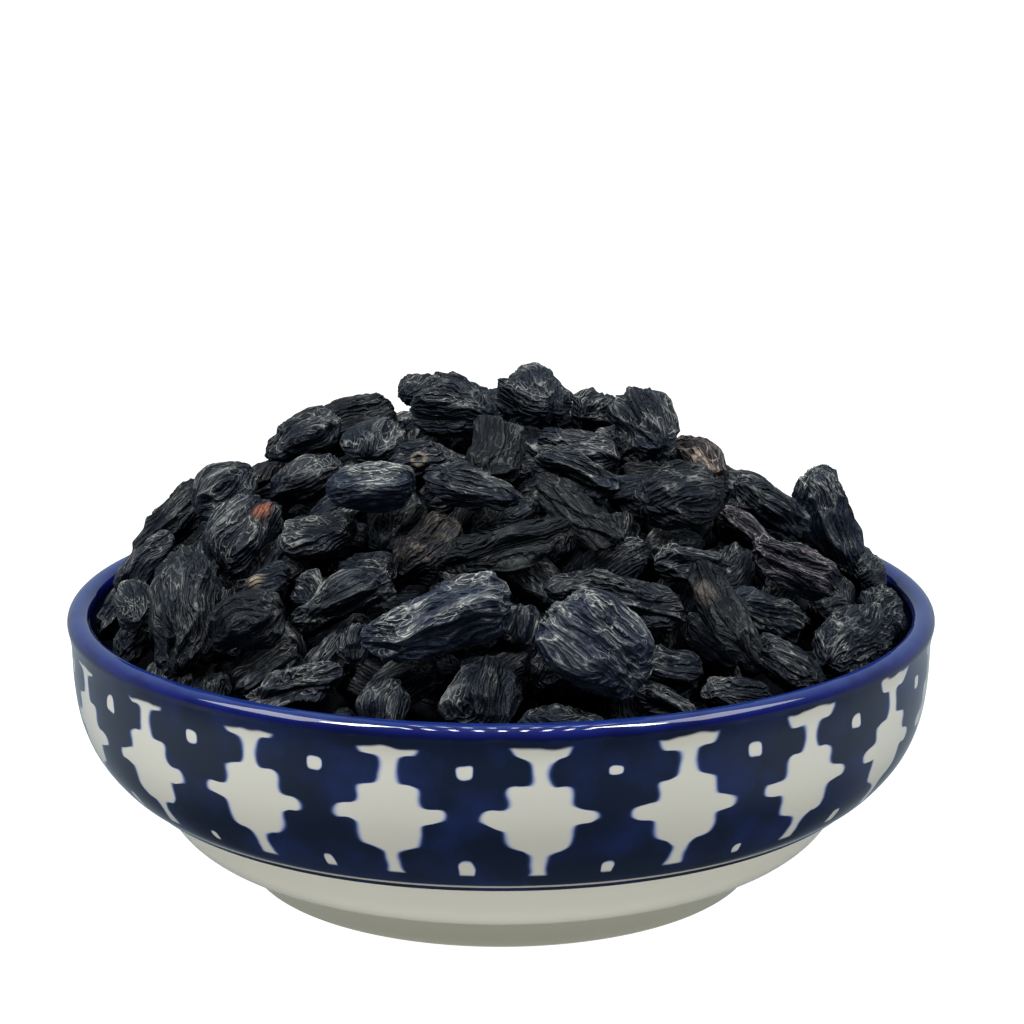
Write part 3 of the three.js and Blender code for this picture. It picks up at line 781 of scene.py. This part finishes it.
def wrinkles(raisin, s, turn, local, seed):
    """How deep the skin is sunk, its distance from a broad and a thin ridge and its facing, and the grain.

    Facing is 0 on a raisin's sides and 1 on its top and underside. The grain is place, stretched and warped.
    """
    girth = math.pi * (raisin.width + raisin.thickness) / 2
    broad_count = max(round(girth / BROAD_SPACING), FEWEST_BROAD)
    wander = noise(local / WANDER_SIZE, seed)
    patch = 0.5 + 0.5 * noise(local / WANDER_SIZE, seed + 1)
    warp = [noise(local / WARP_SIZE, seed + k) * WARP_REACH for k in (2, 3, 4)]
    grain = (local + np.stack(warp, axis=-1)) * (RIDGE_STRETCH, 1, 1)
    fade = np.clip((1 - s * s) / TIP_FADE, 0, 1)
    broad = np.sin(math.pi * (broad_count * turn / TURN + BROAD_WANDER * wander))
    thin = noise(grain / RIDGE_SPACING, seed + 5)
    slimness = np.clip((raisin.length / raisin.width - 1) / USUAL_SLIMNESS, *SLIM_RANGE)
    depth = BROAD_DEPTH * slimness * np.abs(broad) * fade * (EVEN_SHARE + (1 - EVEN_SHARE) * patch)
    depth = depth + RIDGE_DEPTH * np.clip(np.abs(thin) / RIDGE_EDGE, 0, 1) ** RIDGE_ROUNDING
    sideways, upward = np.abs(local[..., 1]), np.abs(local[..., 2])
    facing = upward / (sideways + upward + 1e-6)
    return depth, np.stack([broad, thin, facing], axis=-1), grain + GRAIN_SHIFT * seed


def mark_shape(kind, near):
    """How far a mark stands out, as a share of its height. Near is 1 at its middle and 0 at its edge."""
    if kind == "ring":
        return np.exp(-(((near - RING_PLACE) / RING_WIDTH) ** 2)) * (near > 0)
    return near * near * (3 - 2 * near)


def near_mark(raisin, points, mark):
    """How near places are to a mark's middle: 1 there and 0 from its radius on."""
    out = points - np.array(raisin.centre)
    far = np.linalg.norm(out, axis=-1)
    gap = np.linalg.norm(out / far[..., None] - unit(mark.facing), axis=-1) * far
    return np.clip(1 - gap / mark.radius, 0, 1)


def raisin_mesh(raisin, spacing, seed):
    """One raisin's skin as a grid: its places, what its wrinkles are like at each, and the faces."""
    girth = math.pi * (raisin.width + raisin.thickness) / 2
    sides = max(4 * round(girth / spacing / 4), FEWEST_SIDES)
    rings = max(round(RING_SHARE * raisin.length / spacing), FEWEST_RINGS)
    along = -np.cos(math.pi * np.arange(rings + 1) / rings)
    around = TURN * np.arange(sides) / sides
    s, turn = np.meshgrid(along, around, indexing="ij")
    local = skin(raisin, s, turn)
    lumps = 1 + LUMP_HEIGHT * noise(local / LUMP_SIZE, seed + 6) / (raisin.width / 2)
    local = local * np.stack([np.ones(s.shape), lumps, lumps], axis=-1)
    points = np.array(raisin.centre) + local @ np.array(raisin.axes)
    middle, out = pressed(raisin, points)
    depth, ridges, grain = wrinkles(raisin, s, turn, local, seed)
    thick = np.maximum(np.linalg.norm(out, axis=-1), 1e-6)
    depth = np.minimum(depth, DEEPEST_WRINKLE * thick)
    mark = np.zeros(depth.shape)
    if raisin.mark:
        mark = mark_shape(raisin.mark.kind, near_mark(raisin, middle + out, raisin.mark))
        depth = depth * (1 - MARK_SMOOTHING * mark) - raisin.mark.height * mark
    points = middle + out * (1 - depth / thick)[..., None]
    return [closed_grid(values) for values in (points, ridges, grain, mark)] + [grid_faces(rings, sides)]


def closed_grid(values):
    """The values of a grid's places in order, with one value for each tip."""
    return np.concatenate([values[:1, 0], values[1:-1].reshape(-1, *values.shape[2:]), values[-1:, 0]])


def grid_faces(rings, sides):
    """Faces of a grid whose first and last rings are single points."""
    def at(ring, side):
        if ring == 0:
            return 0
        if ring == rings:
            return 1 + (rings - 1) * sides
        return 1 + (ring - 1) * sides + side % sides

    faces = []
    for ring in range(rings):
        for side in range(sides):
            corners = [at(ring, side), at(ring, side + 1), at(ring + 1, side + 1), at(ring + 1, side)]
            faces.append(tuple(dict.fromkeys(corners)))
    return faces


def new_object(name, data):
    thing = bpy.data.objects.new(name, data)
    bpy.context.scene.collection.objects.link(thing)
    return thing


def make_object(name, places, faces, material):
    """A smoothly shaded object from places in millimetres."""
    mesh = bpy.data.meshes.new(name)
    mesh.from_pydata([tuple(p) for p in np.asarray(places) * MM], [], faces)
    mesh.polygons.foreach_set("use_smooth", [True] * len(mesh.polygons))
    mesh.update()
    mesh.materials.append(material)
    return new_object(name, mesh)


def raisin_piece(name, raisins, spacings, first_seed, material, tone=(1, 1, 1)):
    """One object that holds the fine skins of one or more raisins."""
    skins, faces = [], []
    count = 0
    for i, (raisin, spacing) in enumerate(zip(raisins, spacings)):
        *own, own_faces = raisin_mesh(raisin, spacing, first_seed + SEED_STEP * i)
        faces.extend(tuple(corner + count for corner in face) for face in own_faces)
        count += len(own[0])
        skins.append(own)
    places, ridges, grains, marks = (np.concatenate(values) for values in zip(*skins))
    mark = raisins[0].mark
    piece = make_object(name, places, faces, material)
    give(piece, "ridges", ridges)
    give(piece, "grain", grains)
    give(piece, "mark", marks)
    give(piece, "mark_colour", np.tile(mark.colour if mark else (0.0, 0.0, 0.0), (count, 1)))
    give(piece, "tone", np.tile(np.array(tone, float), (count, 1)))
    return piece


def give(piece, name, values):
    """Stores a number or a vector for each of a piece's places, for its material to read."""
    kind, field = ("FLOAT", "value") if values.ndim == 1 else ("FLOAT_VECTOR", "vector")
    piece.data.attributes.new(name, kind, "POINT").data.foreach_set(field, values.ravel())


def look_along(thing, place, aim):
    """Puts a camera or lamp at a place and turns it to its aim, both in millimetres."""
    thing.location = Vector(place) * MM
    thing.rotation_euler = (Vector(aim) - Vector(place)).to_track_quat("-Z", "Y").to_euler()


def make_camera():
    camera = new_object("camera", bpy.data.cameras.new("camera"))
    camera.data.lens = CAMERA_LENS
    camera.data.sensor_width = SENSOR
    rise = math.radians(CAMERA_HEIGHT_ANGLE)
    back = (0, -math.cos(rise), math.sin(rise))
    look_along(camera, plus(CAMERA_AIM, back, CAMERA_DISTANCE), CAMERA_AIM)
    bpy.context.scene.camera = camera


make_camera()


class Nodes:
    """Node helpers for a material or a world. A value may be a number or another node's output."""

    def __init__(self, owner, shader="Principled BSDF"):
        owner.use_nodes = True
        self.owner = owner
        self.tree = owner.node_tree
        self.shader = self.tree.nodes[shader]

    def add(self, kind, **settings):
        node = self.tree.nodes.new(kind)
        for key, value in settings.items():
            setattr(node, key, value)
        return node

    def feed(self, socket, value):
        if isinstance(value, bpy.types.NodeSocket):
            self.tree.links.new(value, socket)
        else:
            socket.default_value = value

    def math(self, operation, *values):
        node = self.add("ShaderNodeMath", operation=operation)
        for socket, value in zip(node.inputs, values):
            self.feed(socket, value)
        return node.outputs[0]

    def sum(self, a, b):
        return self.math("ADD", a, b)

    def less(self, a, b):
        return self.math("SUBTRACT", a, b)

    def times(self, a, b):
        return self.math("MULTIPLY", a, b)

    def size(self, a):
        """A value without its sign."""
        return self.math("ABSOLUTE", a)

    def ramp(self, value, low, high, to_low=0.0, to_high=1.0, smooth=True):
        kind = "SMOOTHSTEP" if smooth else "LINEAR"
        node = self.add("ShaderNodeMapRange", interpolation_type=kind)
        for socket, number in zip(node.inputs, (value, low, high, to_low, to_high)):
            self.feed(socket, number)
        return node.outputs[0]

    def mix(self, share, low, high):
        node = self.add("ShaderNodeMix", data_type="RGBA")
        self.feed(node.inputs["Factor"], share)
        self.feed(node.inputs[6], low)
        self.feed(node.inputs[7], high)
        return node.outputs[2]

    def noise(self, place, scale, detail=2.0, rough=0.5):
        node = self.add("ShaderNodeTexNoise", noise_dimensions="3D", noise_type="FBM")
        self.feed(node.inputs["Vector"], place)
        self.feed(node.inputs["Scale"], scale)
        self.feed(node.inputs["Detail"], detail)
        self.feed(node.inputs["Roughness"], rough)
        return node.outputs[0]

    def attribute(self, name, part="Fac"):
        return self.add("ShaderNodeAttribute", attribute_name=name).outputs[part]

    def vector(self, x, y, z):
        node = self.add("ShaderNodeCombineXYZ")
        for socket, value in zip(node.inputs, (x, y, z)):
            self.feed(socket, value)
        return node.outputs[0]

    def parts(self, vector):
        node = self.add("ShaderNodeSeparateXYZ")
        self.feed(node.inputs[0], vector)
        return node.outputs[0], node.outputs[1], node.outputs[2]

    def vector_math(self, operation, first, second):
        node = self.add("ShaderNodeVectorMath", operation=operation)
        self.feed(node.inputs[0], first)
        self.feed(node.inputs[1], second)
        return node.outputs[0]

    def surface(self, colour, roughness, specular=0.5):
        self.feed(self.shader.inputs["Base Color"], colour)
        self.feed(self.shader.inputs["Roughness"], roughness)
        self.shader.inputs["Specular IOR Level"].default_value = specular

    def bump(self, height, strength, distance):
        node = self.add("ShaderNodeBump")
        self.feed(node.inputs["Strength"], strength)
        self.feed(node.inputs["Distance"], distance)
        self.feed(node.inputs["Height"], height)
        self.feed(self.shader.inputs["Normal"], node.outputs[0])


def raisin_material():
    """Blue-black wrinkled skin, with a grey bloom and a painted highlight on its ridges, painted top light
    where it faces up and painted shade in its grooves. A tone shifts a whole raisin's colour.
    """
    n = Nodes(bpy.data.materials.new("raisin_skin"))
    place = n.add("ShaderNodeTexCoord").outputs["Object"]
    grain = n.attribute("grain", "Vector")
    broad, thin, facing = n.parts(n.attribute("ridges", "Vector"))
    broad, thin = n.size(broad), n.size(thin)
    stray = n.less(n.noise(place, 620, rough=0.6), 0.5)
    _, sideways, deep = n.parts(grain)

    def ridges_across(distance):
        turns = n.math("MULTIPLY_ADD", distance, math.pi / FINE_PITCH, n.times(stray, FINE_STRAY))
        return n.size(n.math("SINE", turns))

    choice = n.ramp(facing, 0.42, 0.52)
    wave = n.times(ridges_across(sideways), choice)
    wave = n.math("MULTIPLY_ADD", ridges_across(deep), n.less(1.0, choice), wave)
    crack = n.size(n.less(n.noise(grain, 1.6, detail=0.0), 0.5))
    beads = n.noise(place, 1600, rough=0.6)
    # Painted top light and shade: skin that faces up gets the paler, dusted colours and skin that faces down
    # the darker, bare ones. This also stands for bloom settled on top.
    upward = n.parts(n.add("ShaderNodeNewGeometry").outputs["Normal"])[2]
    dust_and_top_light = n.ramp(upward, -0.4, 0.8, 0.05, 1.0)
    bloom_and_top_light = n.times(n.ramp(n.noise(place, 210), 0.39, 0.62, 0.08, 1.0), dust_and_top_light)
    strong = n.ramp(n.noise(place, 150, detail=1.0), 0.4, 0.62, 0.3, 1.0)
    wave_line = n.times(n.ramp(wave, 0.03, 0.36, 1.0, 0.0), strong)
    crack_line = n.ramp(crack, 0.008, 0.05, 0.8, 0.0)
    thin_line = n.ramp(thin, 0.01, 0.065, 1.0, 0.0)
    broad_line = n.ramp(broad, 0.0, 0.2, 0.5, 0.0)
    line = n.math("MAXIMUM", thin_line, wave_line)
    line = n.math("MAXIMUM", line, n.math("MAXIMUM", crack_line, broad_line))
    line = n.times(line, n.ramp(beads, 0.3, 0.62, 0.2, 1.0))
    # Painted shade: the grooves between the ridges are darkened towards the groove colour.
    wave_groove_shade = n.times(n.ramp(wave, 0.45, 0.95), strong)
    groove_shade = n.math("MAXIMUM", wave_groove_shade, n.ramp(thin, 0.12, 0.45))
    body = n.mix(groove_shade, n.mix(bloom_and_top_light, BARE_SHADED_FLANK, DUSTED_LIT_FLANK), GROOVE_SHADE)
    crest_bloom_and_highlight = n.mix(bloom_and_top_light, BARE_SHADED_CREST, DUSTED_LIT_CREST)
    tone = n.attribute("tone", "Vector")
    body = n.vector_math("MULTIPLY", body, tone)
    crest_bloom_and_highlight = n.vector_math("MULTIPLY", crest_bloom_and_highlight, n.vector_math("MINIMUM", tone, BRIGHTEST_CREST))
    # Painted highlight: the crest lines take the paler crest colour, partly bloom, and most strongly where
    # the skin faces up.
    colour = n.mix(n.times(line, n.ramp(dust_and_top_light, 0.1, 1.0, 0.4, 0.95)), body, crest_bloom_and_highlight)
    mark = n.times(n.attribute("mark"), n.ramp(beads, 0.3, 0.6, 0.55, 1.0))
    colour = n.mix(mark, colour, n.attribute("mark_colour", "Color"))
    n.surface(colour, n.ramp(beads, 0.3, 0.7, 0.4, 0.6), 0.12)
    n.shader.inputs["Specular Tint"].default_value = SKIN_SHEEN
    wave_relief = n.times(n.ramp(wave, 0.0, 0.9, 1.0, 0.0), strong)
    relief = n.sum(wave_relief, n.times(thin_line, 0.4))
    n.bump(n.sum(relief, n.times(beads, 0.4)), 1.0, 0.00045)
    return n.owner


def star_curve(n, height):
    """A star's half-width at a height, from its outline."""
    node = n.add("ShaderNodeFloatCurve")
    curve = node.mapping.curves[0]
    span = STAR_HIGH - STAR_LOW
    while len(curve.points) < len(STAR_OUTLINE):
        curve.points.new(0.5, 0.5)
    for point, (z, half) in zip(curve.points, STAR_OUTLINE):
        point.location = ((z - STAR_LOW) / span, half / STAR_WIDEST)
        point.handle_type = "AUTO"
    node.mapping.update()
    n.feed(node.inputs["Value"], n.ramp(height, STAR_LOW, STAR_HIGH, smooth=False))
    return n.times(node.outputs[0], STAR_WIDEST)


def dot_shape(n, across, height, centre, half_wide, half_high):
    """How far inside a soft-cornered dot a place is: 1 at its middle and 0 at its edge."""
    wide = n.size(n.math("DIVIDE", across, half_wide))
    high = n.size(n.math("DIVIDE", n.less(height, centre), half_high))
    far = n.sum(n.math("POWER", wide, 3), n.math("POWER", high, 3))
    return n.less(1.0, far)


def dots(n, cells, across, height):
    """How far inside the nearest of the dots between the stars a place is."""
    number = n.math("FLOOR", n.sum(cells, STARS))
    centre, half_wide, half_high = UPPER_DOT
    flat = n.math("COMPARE", number, FLAT_DOT, 0.5)
    half_high = n.math("MULTIPLY_ADD", flat, -FLATTENED, half_high)
    upper = dot_shape(n, across, height, centre, half_wide, half_high)
    centre, half_wide, half_high = LOWER_DOT
    swell = n.math("COSINE", n.times(n.less(number, LARGEST_DOT), TURN / 4))
    size = n.math("MULTIPLY_ADD", swell, DOT_SWELL, DOT_SHARE)
    half_wide, half_high = n.times(size, half_wide), n.times(size, half_high)
    lower = dot_shape(n, across, height, centre, half_wide, half_high)
    return n.math("MAXIMUM", upper, lower)


def glaze_material():
    """Clear gloss over a cobalt lip, a navy band with off-white stars, off-white below and navy inside. The
    lip has painted shade along its lower edge and a paler top that is partly thin glaze and partly painted
    sheen. The off-white below the ledge is painted lighter, as painted light, and the navy inside is a
    guessed colour kept dark as painted shade within the rim.
    """
    n = Nodes(bpy.data.materials.new("bowl_glaze"))
    place = n.add("ShaderNodeTexCoord").outputs["Object"]
    x, y, z = n.parts(place)
    height = n.times(z, 1 / MM)
    azimuth = n.math("DEGREES", n.math("ARCTAN2", x, n.times(y, -1)))
    sway = n.less(n.noise(place, 260, detail=1.0), 0.5)
    swing = n.less(n.noise(n.vector(y, z, x), 260, detail=1.0), 0.5)
    cells = n.math("DIVIDE", n.less(azimuth, STAR_FIRST), STAR_PITCH)
    wobbly = n.sum(height, n.times(sway, STAR_WOBBLE))
    # Adding STARS keeps every number above 0.
    from_star = n.less(n.math("FRACT", n.sum(cells, STARS + 0.5)), 0.5)
    from_dot = n.less(n.math("FRACT", n.sum(cells, STARS)), 0.5)
    drift = n.times(swing, STAR_DRIFT)
    star_across = n.sum(n.times(from_star, STAR_PITCH), drift)
    dot_across = n.sum(n.times(from_dot, STAR_PITCH), drift)
    inside = n.less(star_curve(n, wobbly), n.size(star_across))
    lean = n.math("COSINE", n.math("RADIANS", n.sum(azimuth, TOPS_LEAN)))
    tops = n.math("MULTIPLY_ADD", lean, TOPS_SHIFT, wobbly)
    ends = n.times(n.ramp(height, *STARS_START), n.ramp(tops, *STARS_END))
    inside = n.math("MAXIMUM", inside, dots(n, cells, dot_across, wobbly))
    white = n.times(n.ramp(inside, -0.28, 0.28), ends)
    fringe = n.times(n.ramp(inside, -0.6, 0.05), ends)
    wash = n.noise(place, 120, detail=3.0)
    navy = n.mix(n.ramp(wash, 0.42, 0.72), *NAVY)
    painted = n.mix(fringe, navy, NAVY_EDGE)
    band = n.mix(white, painted, n.mix(n.ramp(inside, 0.0, 0.55), BLUED_CREAM, CREAM))
    cobalt = n.mix(n.ramp(wash, 0.35, 0.7), *COBALT)
    # Painted shade: the lip darkens along its lower edge, as in the shadow under the rolled lip.
    cobalt = n.mix(n.ramp(height, *LIP_PAINTED_SHADE), COBALT_PAINTED_SHADE, cobalt)
    # The lip's top is paler: partly thinner glaze and partly a painted sheen.
    thin_glaze_and_sheen = n.ramp(n.sum(height, n.times(sway, THIN_AND_SHEEN_WOBBLE)), *LIP_THIN_AND_SHEEN)
    cobalt = n.mix(thin_glaze_and_sheen, cobalt, THIN_COBALT_AND_SHEEN)
    rim_line = n.sum(height, n.times(swing, LIP_WOBBLE))
    on_lip = n.ramp(rim_line, *LIP_EDGE)
    hairline = n.times(n.ramp(height, *HAIRLINE_START), n.ramp(height, *HAIRLINE_END))
    below = n.ramp(height, *LEDGE_EDGE)
    colour = n.mix(on_lip, band, cobalt)
    colour = n.mix(n.times(hairline, 0.75), colour, CREAM)
    # Painted light: below the ledge the off-white is lighter than the band's cream, against the ledge's
    # shade.
    foot = n.mix(n.ramp(height, *FOOT_START), LIT_PLAIN_GLAZE, FOOT_EDGE)
    colour = n.mix(below, colour, foot)
    # The inside is painted navy: a guessed glaze colour, kept dark as painted shade within the rim.
    inner = n.mix(n.ramp(height, *INNER_COBALT), navy, cobalt)
    colour = n.mix(n.attribute("outside"), inner, colour)
    speck = n.add("ShaderNodeTexVoronoi", feature="F1")
    n.feed(speck.inputs["Vector"], place)
    n.feed(speck.inputs["Scale"], 110)
    rare = n.math("GREATER_THAN", n.parts(speck.outputs["Color"])[0], 0.93)
    dust = n.times(n.ramp(speck.outputs["Distance"], 0.035, 0.02), rare)
    colour = n.mix(n.times(dust, 0.7), colour, SPECK)
    n.surface(colour, n.ramp(n.noise(place, 60), 0.3, 0.7, 0.02, 0.05))
    n.bump(n.noise(place, 90, detail=1.0), 0.08, 0.0012)
    return n.owner


def curve_through(points, steps):
    """A smooth line through the points, as (radius, height)."""
    line = []
    for i in range(len(points) - 1):
        near = [points[min(max(i + k, 0), len(points) - 1)] for k in (-1, 0, 1, 2)]
        before, a, b, after = np.array(near)
        for step in range(steps):
            t = step / steps
            curve = (2 * before - 5 * a + 4 * b - after) * t * t + (3 * a - before - 3 * b + after) * t ** 3
            line.append(0.5 * (2 * a + (b - before) * t + curve))
    line.append(np.array(points[-1]))
    return [(max(float(r), 0.0), float(z)) for r, z in line]


def lip_arc():
    """The rolled lip, from its outer foot over the top, as (radius, height)."""
    arc = []
    for i in range(LIP_STEPS + 1):
        angle = math.radians(LIP_START + (LIP_END - LIP_START) * i / LIP_STEPS)
        height = BOWL_HEIGHT - LIP_RADIUS + LIP_RADIUS * math.sin(angle)
        arc.append((LIP_CENTRE + LIP_RADIUS * math.cos(angle), height))
    return arc


def lathe_piece(name, profile, sides, material):
    """A closed solid of revolution from a profile that starts and ends on the axis."""
    rings = len(profile) - 1
    angles = TURN * np.arange(sides) / sides
    ways = np.stack([np.sin(angles), -np.cos(angles), np.zeros(sides)], axis=-1)
    circles = [ways * r + (0, 0, z) for r, z in profile[1:-1]]
    first, last = (0, 0, profile[0][1]), (0, 0, profile[-1][1])
    places = np.concatenate([[first], *circles, [last]])
    return make_object(name, places, grid_faces(rings, sides), material)


def make_bowl(material):
    profile = [
        *curve_through(UNDERSIDE, UNDERSIDE_STEPS),
        *curve_through(FOOT, CURVE_STEPS),
        *curve_through(WALL, CURVE_STEPS),
        *lip_arc(),
        *curve_through(INSIDE, CURVE_STEPS),
    ]
    bowl = lathe_piece("glazed_bowl", profile, BOWL_SIDES, material)
    # The outside ends at the top of the lip, halfway along its arc.
    inner_points = (len(INSIDE) - 1) * CURVE_STEPS + 1 + LIP_STEPS // 2
    outside = np.arange(1, len(profile) - 1) < len(profile) - inner_points
    give(bowl, "outside", np.concatenate([[1], np.repeat(outside, BOWL_SIDES), [0]]).astype(float))
    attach(bowl, "root")
    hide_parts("bowl")


def make_core(material):
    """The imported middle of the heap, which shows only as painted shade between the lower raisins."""
    below = [(max(r - GAP, 0), z + GAP) for r, z in INSIDE[:1:-1]]
    edge = below[-1][0]
    radii = [edge * i / CORE_RINGS for i in range(CORE_RINGS, -1, -1)]
    top = [(r, heap_top(r) - DEEP_CORE) for r in radii]
    dress_bed(lathe_piece("heap_core", below + top, CORE_SIDES, material))


def core_material():
    """Nearly black lumps, painted shade for what is deep in the gaps of the heap."""
    n = Nodes(bpy.data.materials.new("heap_shade"))
    place = n.add("ShaderNodeTexCoord").outputs["Object"]
    lumps = n.noise(place, 260, detail=4.0, rough=0.6)
    n.surface(n.mix(lumps, CORE_DARK, CORE_LIGHT), 0.8, 0.1)
    n.bump(lumps, 1.0, 0.002)
    return n.owner


def dress_bed(piece):
    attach(piece, "root")
    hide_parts("raisin_bed")


def make_raisins(material):
    front, behind, shaded, lower, deep = pile_up()
    for i, raisin in enumerate(front):
        number = i + 1
        raisin.mark = MARKS.get(number)
        tone = [BRIGHTNESS.get(number, 1) * part for part in TONES.get(number, (1, 1, 1))]
        name, seed = "skin_%02d" % number, SEED_STEP * i
        piece = raisin_piece(name, [raisin], [FRONT_SPACING], seed, material, tone)
        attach(piece, "root")
        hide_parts("raisin_%02d" % number)
    beneath = [SHADED_SPACING] * len(shaded) + [LOWER_SPACING] * len(lower)
    beds = [
        ("raisins_behind", behind, [BEHIND_SPACING] * len(behind), 1000),
        ("raisins_beneath", shaded + lower, beneath, 2000),
        ("raisins_deep", deep, [DEEP_SPACING] * len(deep), 4000),
    ]
    for name, raisins, spacings, seed in beds:
        dress_bed(raisin_piece(name, raisins, spacings, seed, material))


def glowing_material(name, base):
    """A matt surface that glows white."""
    n = Nodes(bpy.data.materials.new(name))
    n.surface(base, 0.9, 0.0)
    n.shader.inputs["Emission Color"].default_value = WHITE
    n.shader.inputs["Emission Strength"].default_value = FLOOR_GLOW
    return n.owner


def make_floor():
    """A pale floor. The glaze doesn't mirror it, because a glowing floor would wash out the navy."""
    corners = [(x * FLOOR_HALF, y * FLOOR_HALF, 0) for x, y in ((-1, -1), (1, -1), (1, 1), (-1, 1))]
    floor = make_object("floor", corners, [(0, 1, 2, 3)], glowing_material("pale_floor", FLOOR_GREY))
    floor.visible_glossy = False


def make_backdrop():
    """A white dome behind everything. It only shows to the camera, so it lights and mirrors nothing."""
    tilts = math.pi * (np.arange(DOME_RINGS + 1) / DOME_RINGS - 0.5)
    profile = [(DOME_RADIUS * math.cos(tilt), DOME_RADIUS * math.sin(tilt)) for tilt in tilts]
    dome = lathe_piece("backdrop", profile, DOME_SIDES, glowing_material("white_backdrop", BLACK))
    dome.visible_diffuse = False
    dome.visible_glossy = False
    dome.visible_transmission = False
    dome.visible_shadow = False


def make_light(name, place, size, power, aim):
    light = bpy.data.lights.new(name, "AREA")
    light.shape = "RECTANGLE"
    light.size, light.size_y = size
    light.energy = power
    look_along(new_object(name, light), place, aim)


def make_lights():
    for name, place, size, power in LAMPS:
        make_light(name, place, size, power, LAMP_AIM)
    for row, (place, pitch, size, power) in enumerate(SPOT_ROWS):
        for i in range(SPOTS):
            x = (i + row / 2 - (SPOTS - 1) / 2) * pitch
            make_light("spot_%d_%d" % (row, i), (x, *place), size, power, (x, *SPOT_AIM))


def make_world():
    """Soft surroundings: bright behind and above, dim in front, and with their own glow below the level."""
    n = Nodes(bpy.data.worlds.new("studio"), "Background")
    _, y, z = n.parts(n.add("ShaderNodeTexCoord").outputs["Generated"])
    high = n.sum(n.ramp(y, -0.4, 0.6, FRONT_GLOW, BACK_GLOW), n.ramp(z, 0.15, 1.0, 0, TOP_GLOW))
    low = n.ramp(y, -0.9, -0.1, LOW_FRONT_GLOW, LOW_SIDE_GLOW)
    low = n.times(low, n.ramp(z, -0.75, -0.3, 0.1, 1))
    glow = n.add("ShaderNodeMix")
    for socket, value in zip((0, 2, 3), (n.ramp(z, -0.06, 0.0), low, high)):
        n.feed(glow.inputs[socket], value)
    n.feed(n.shader.inputs["Strength"], glow.outputs[0])
    n.shader.inputs["Color"].default_value = SKY
    bpy.context.scene.world = n.owner


make_bowl(glaze_material())
make_core(core_material())
make_raisins(raisin_material())
make_floor()
make_backdrop()
make_lights()
make_world()
bpy.context.scene.view_settings.view_transform = "Standard"
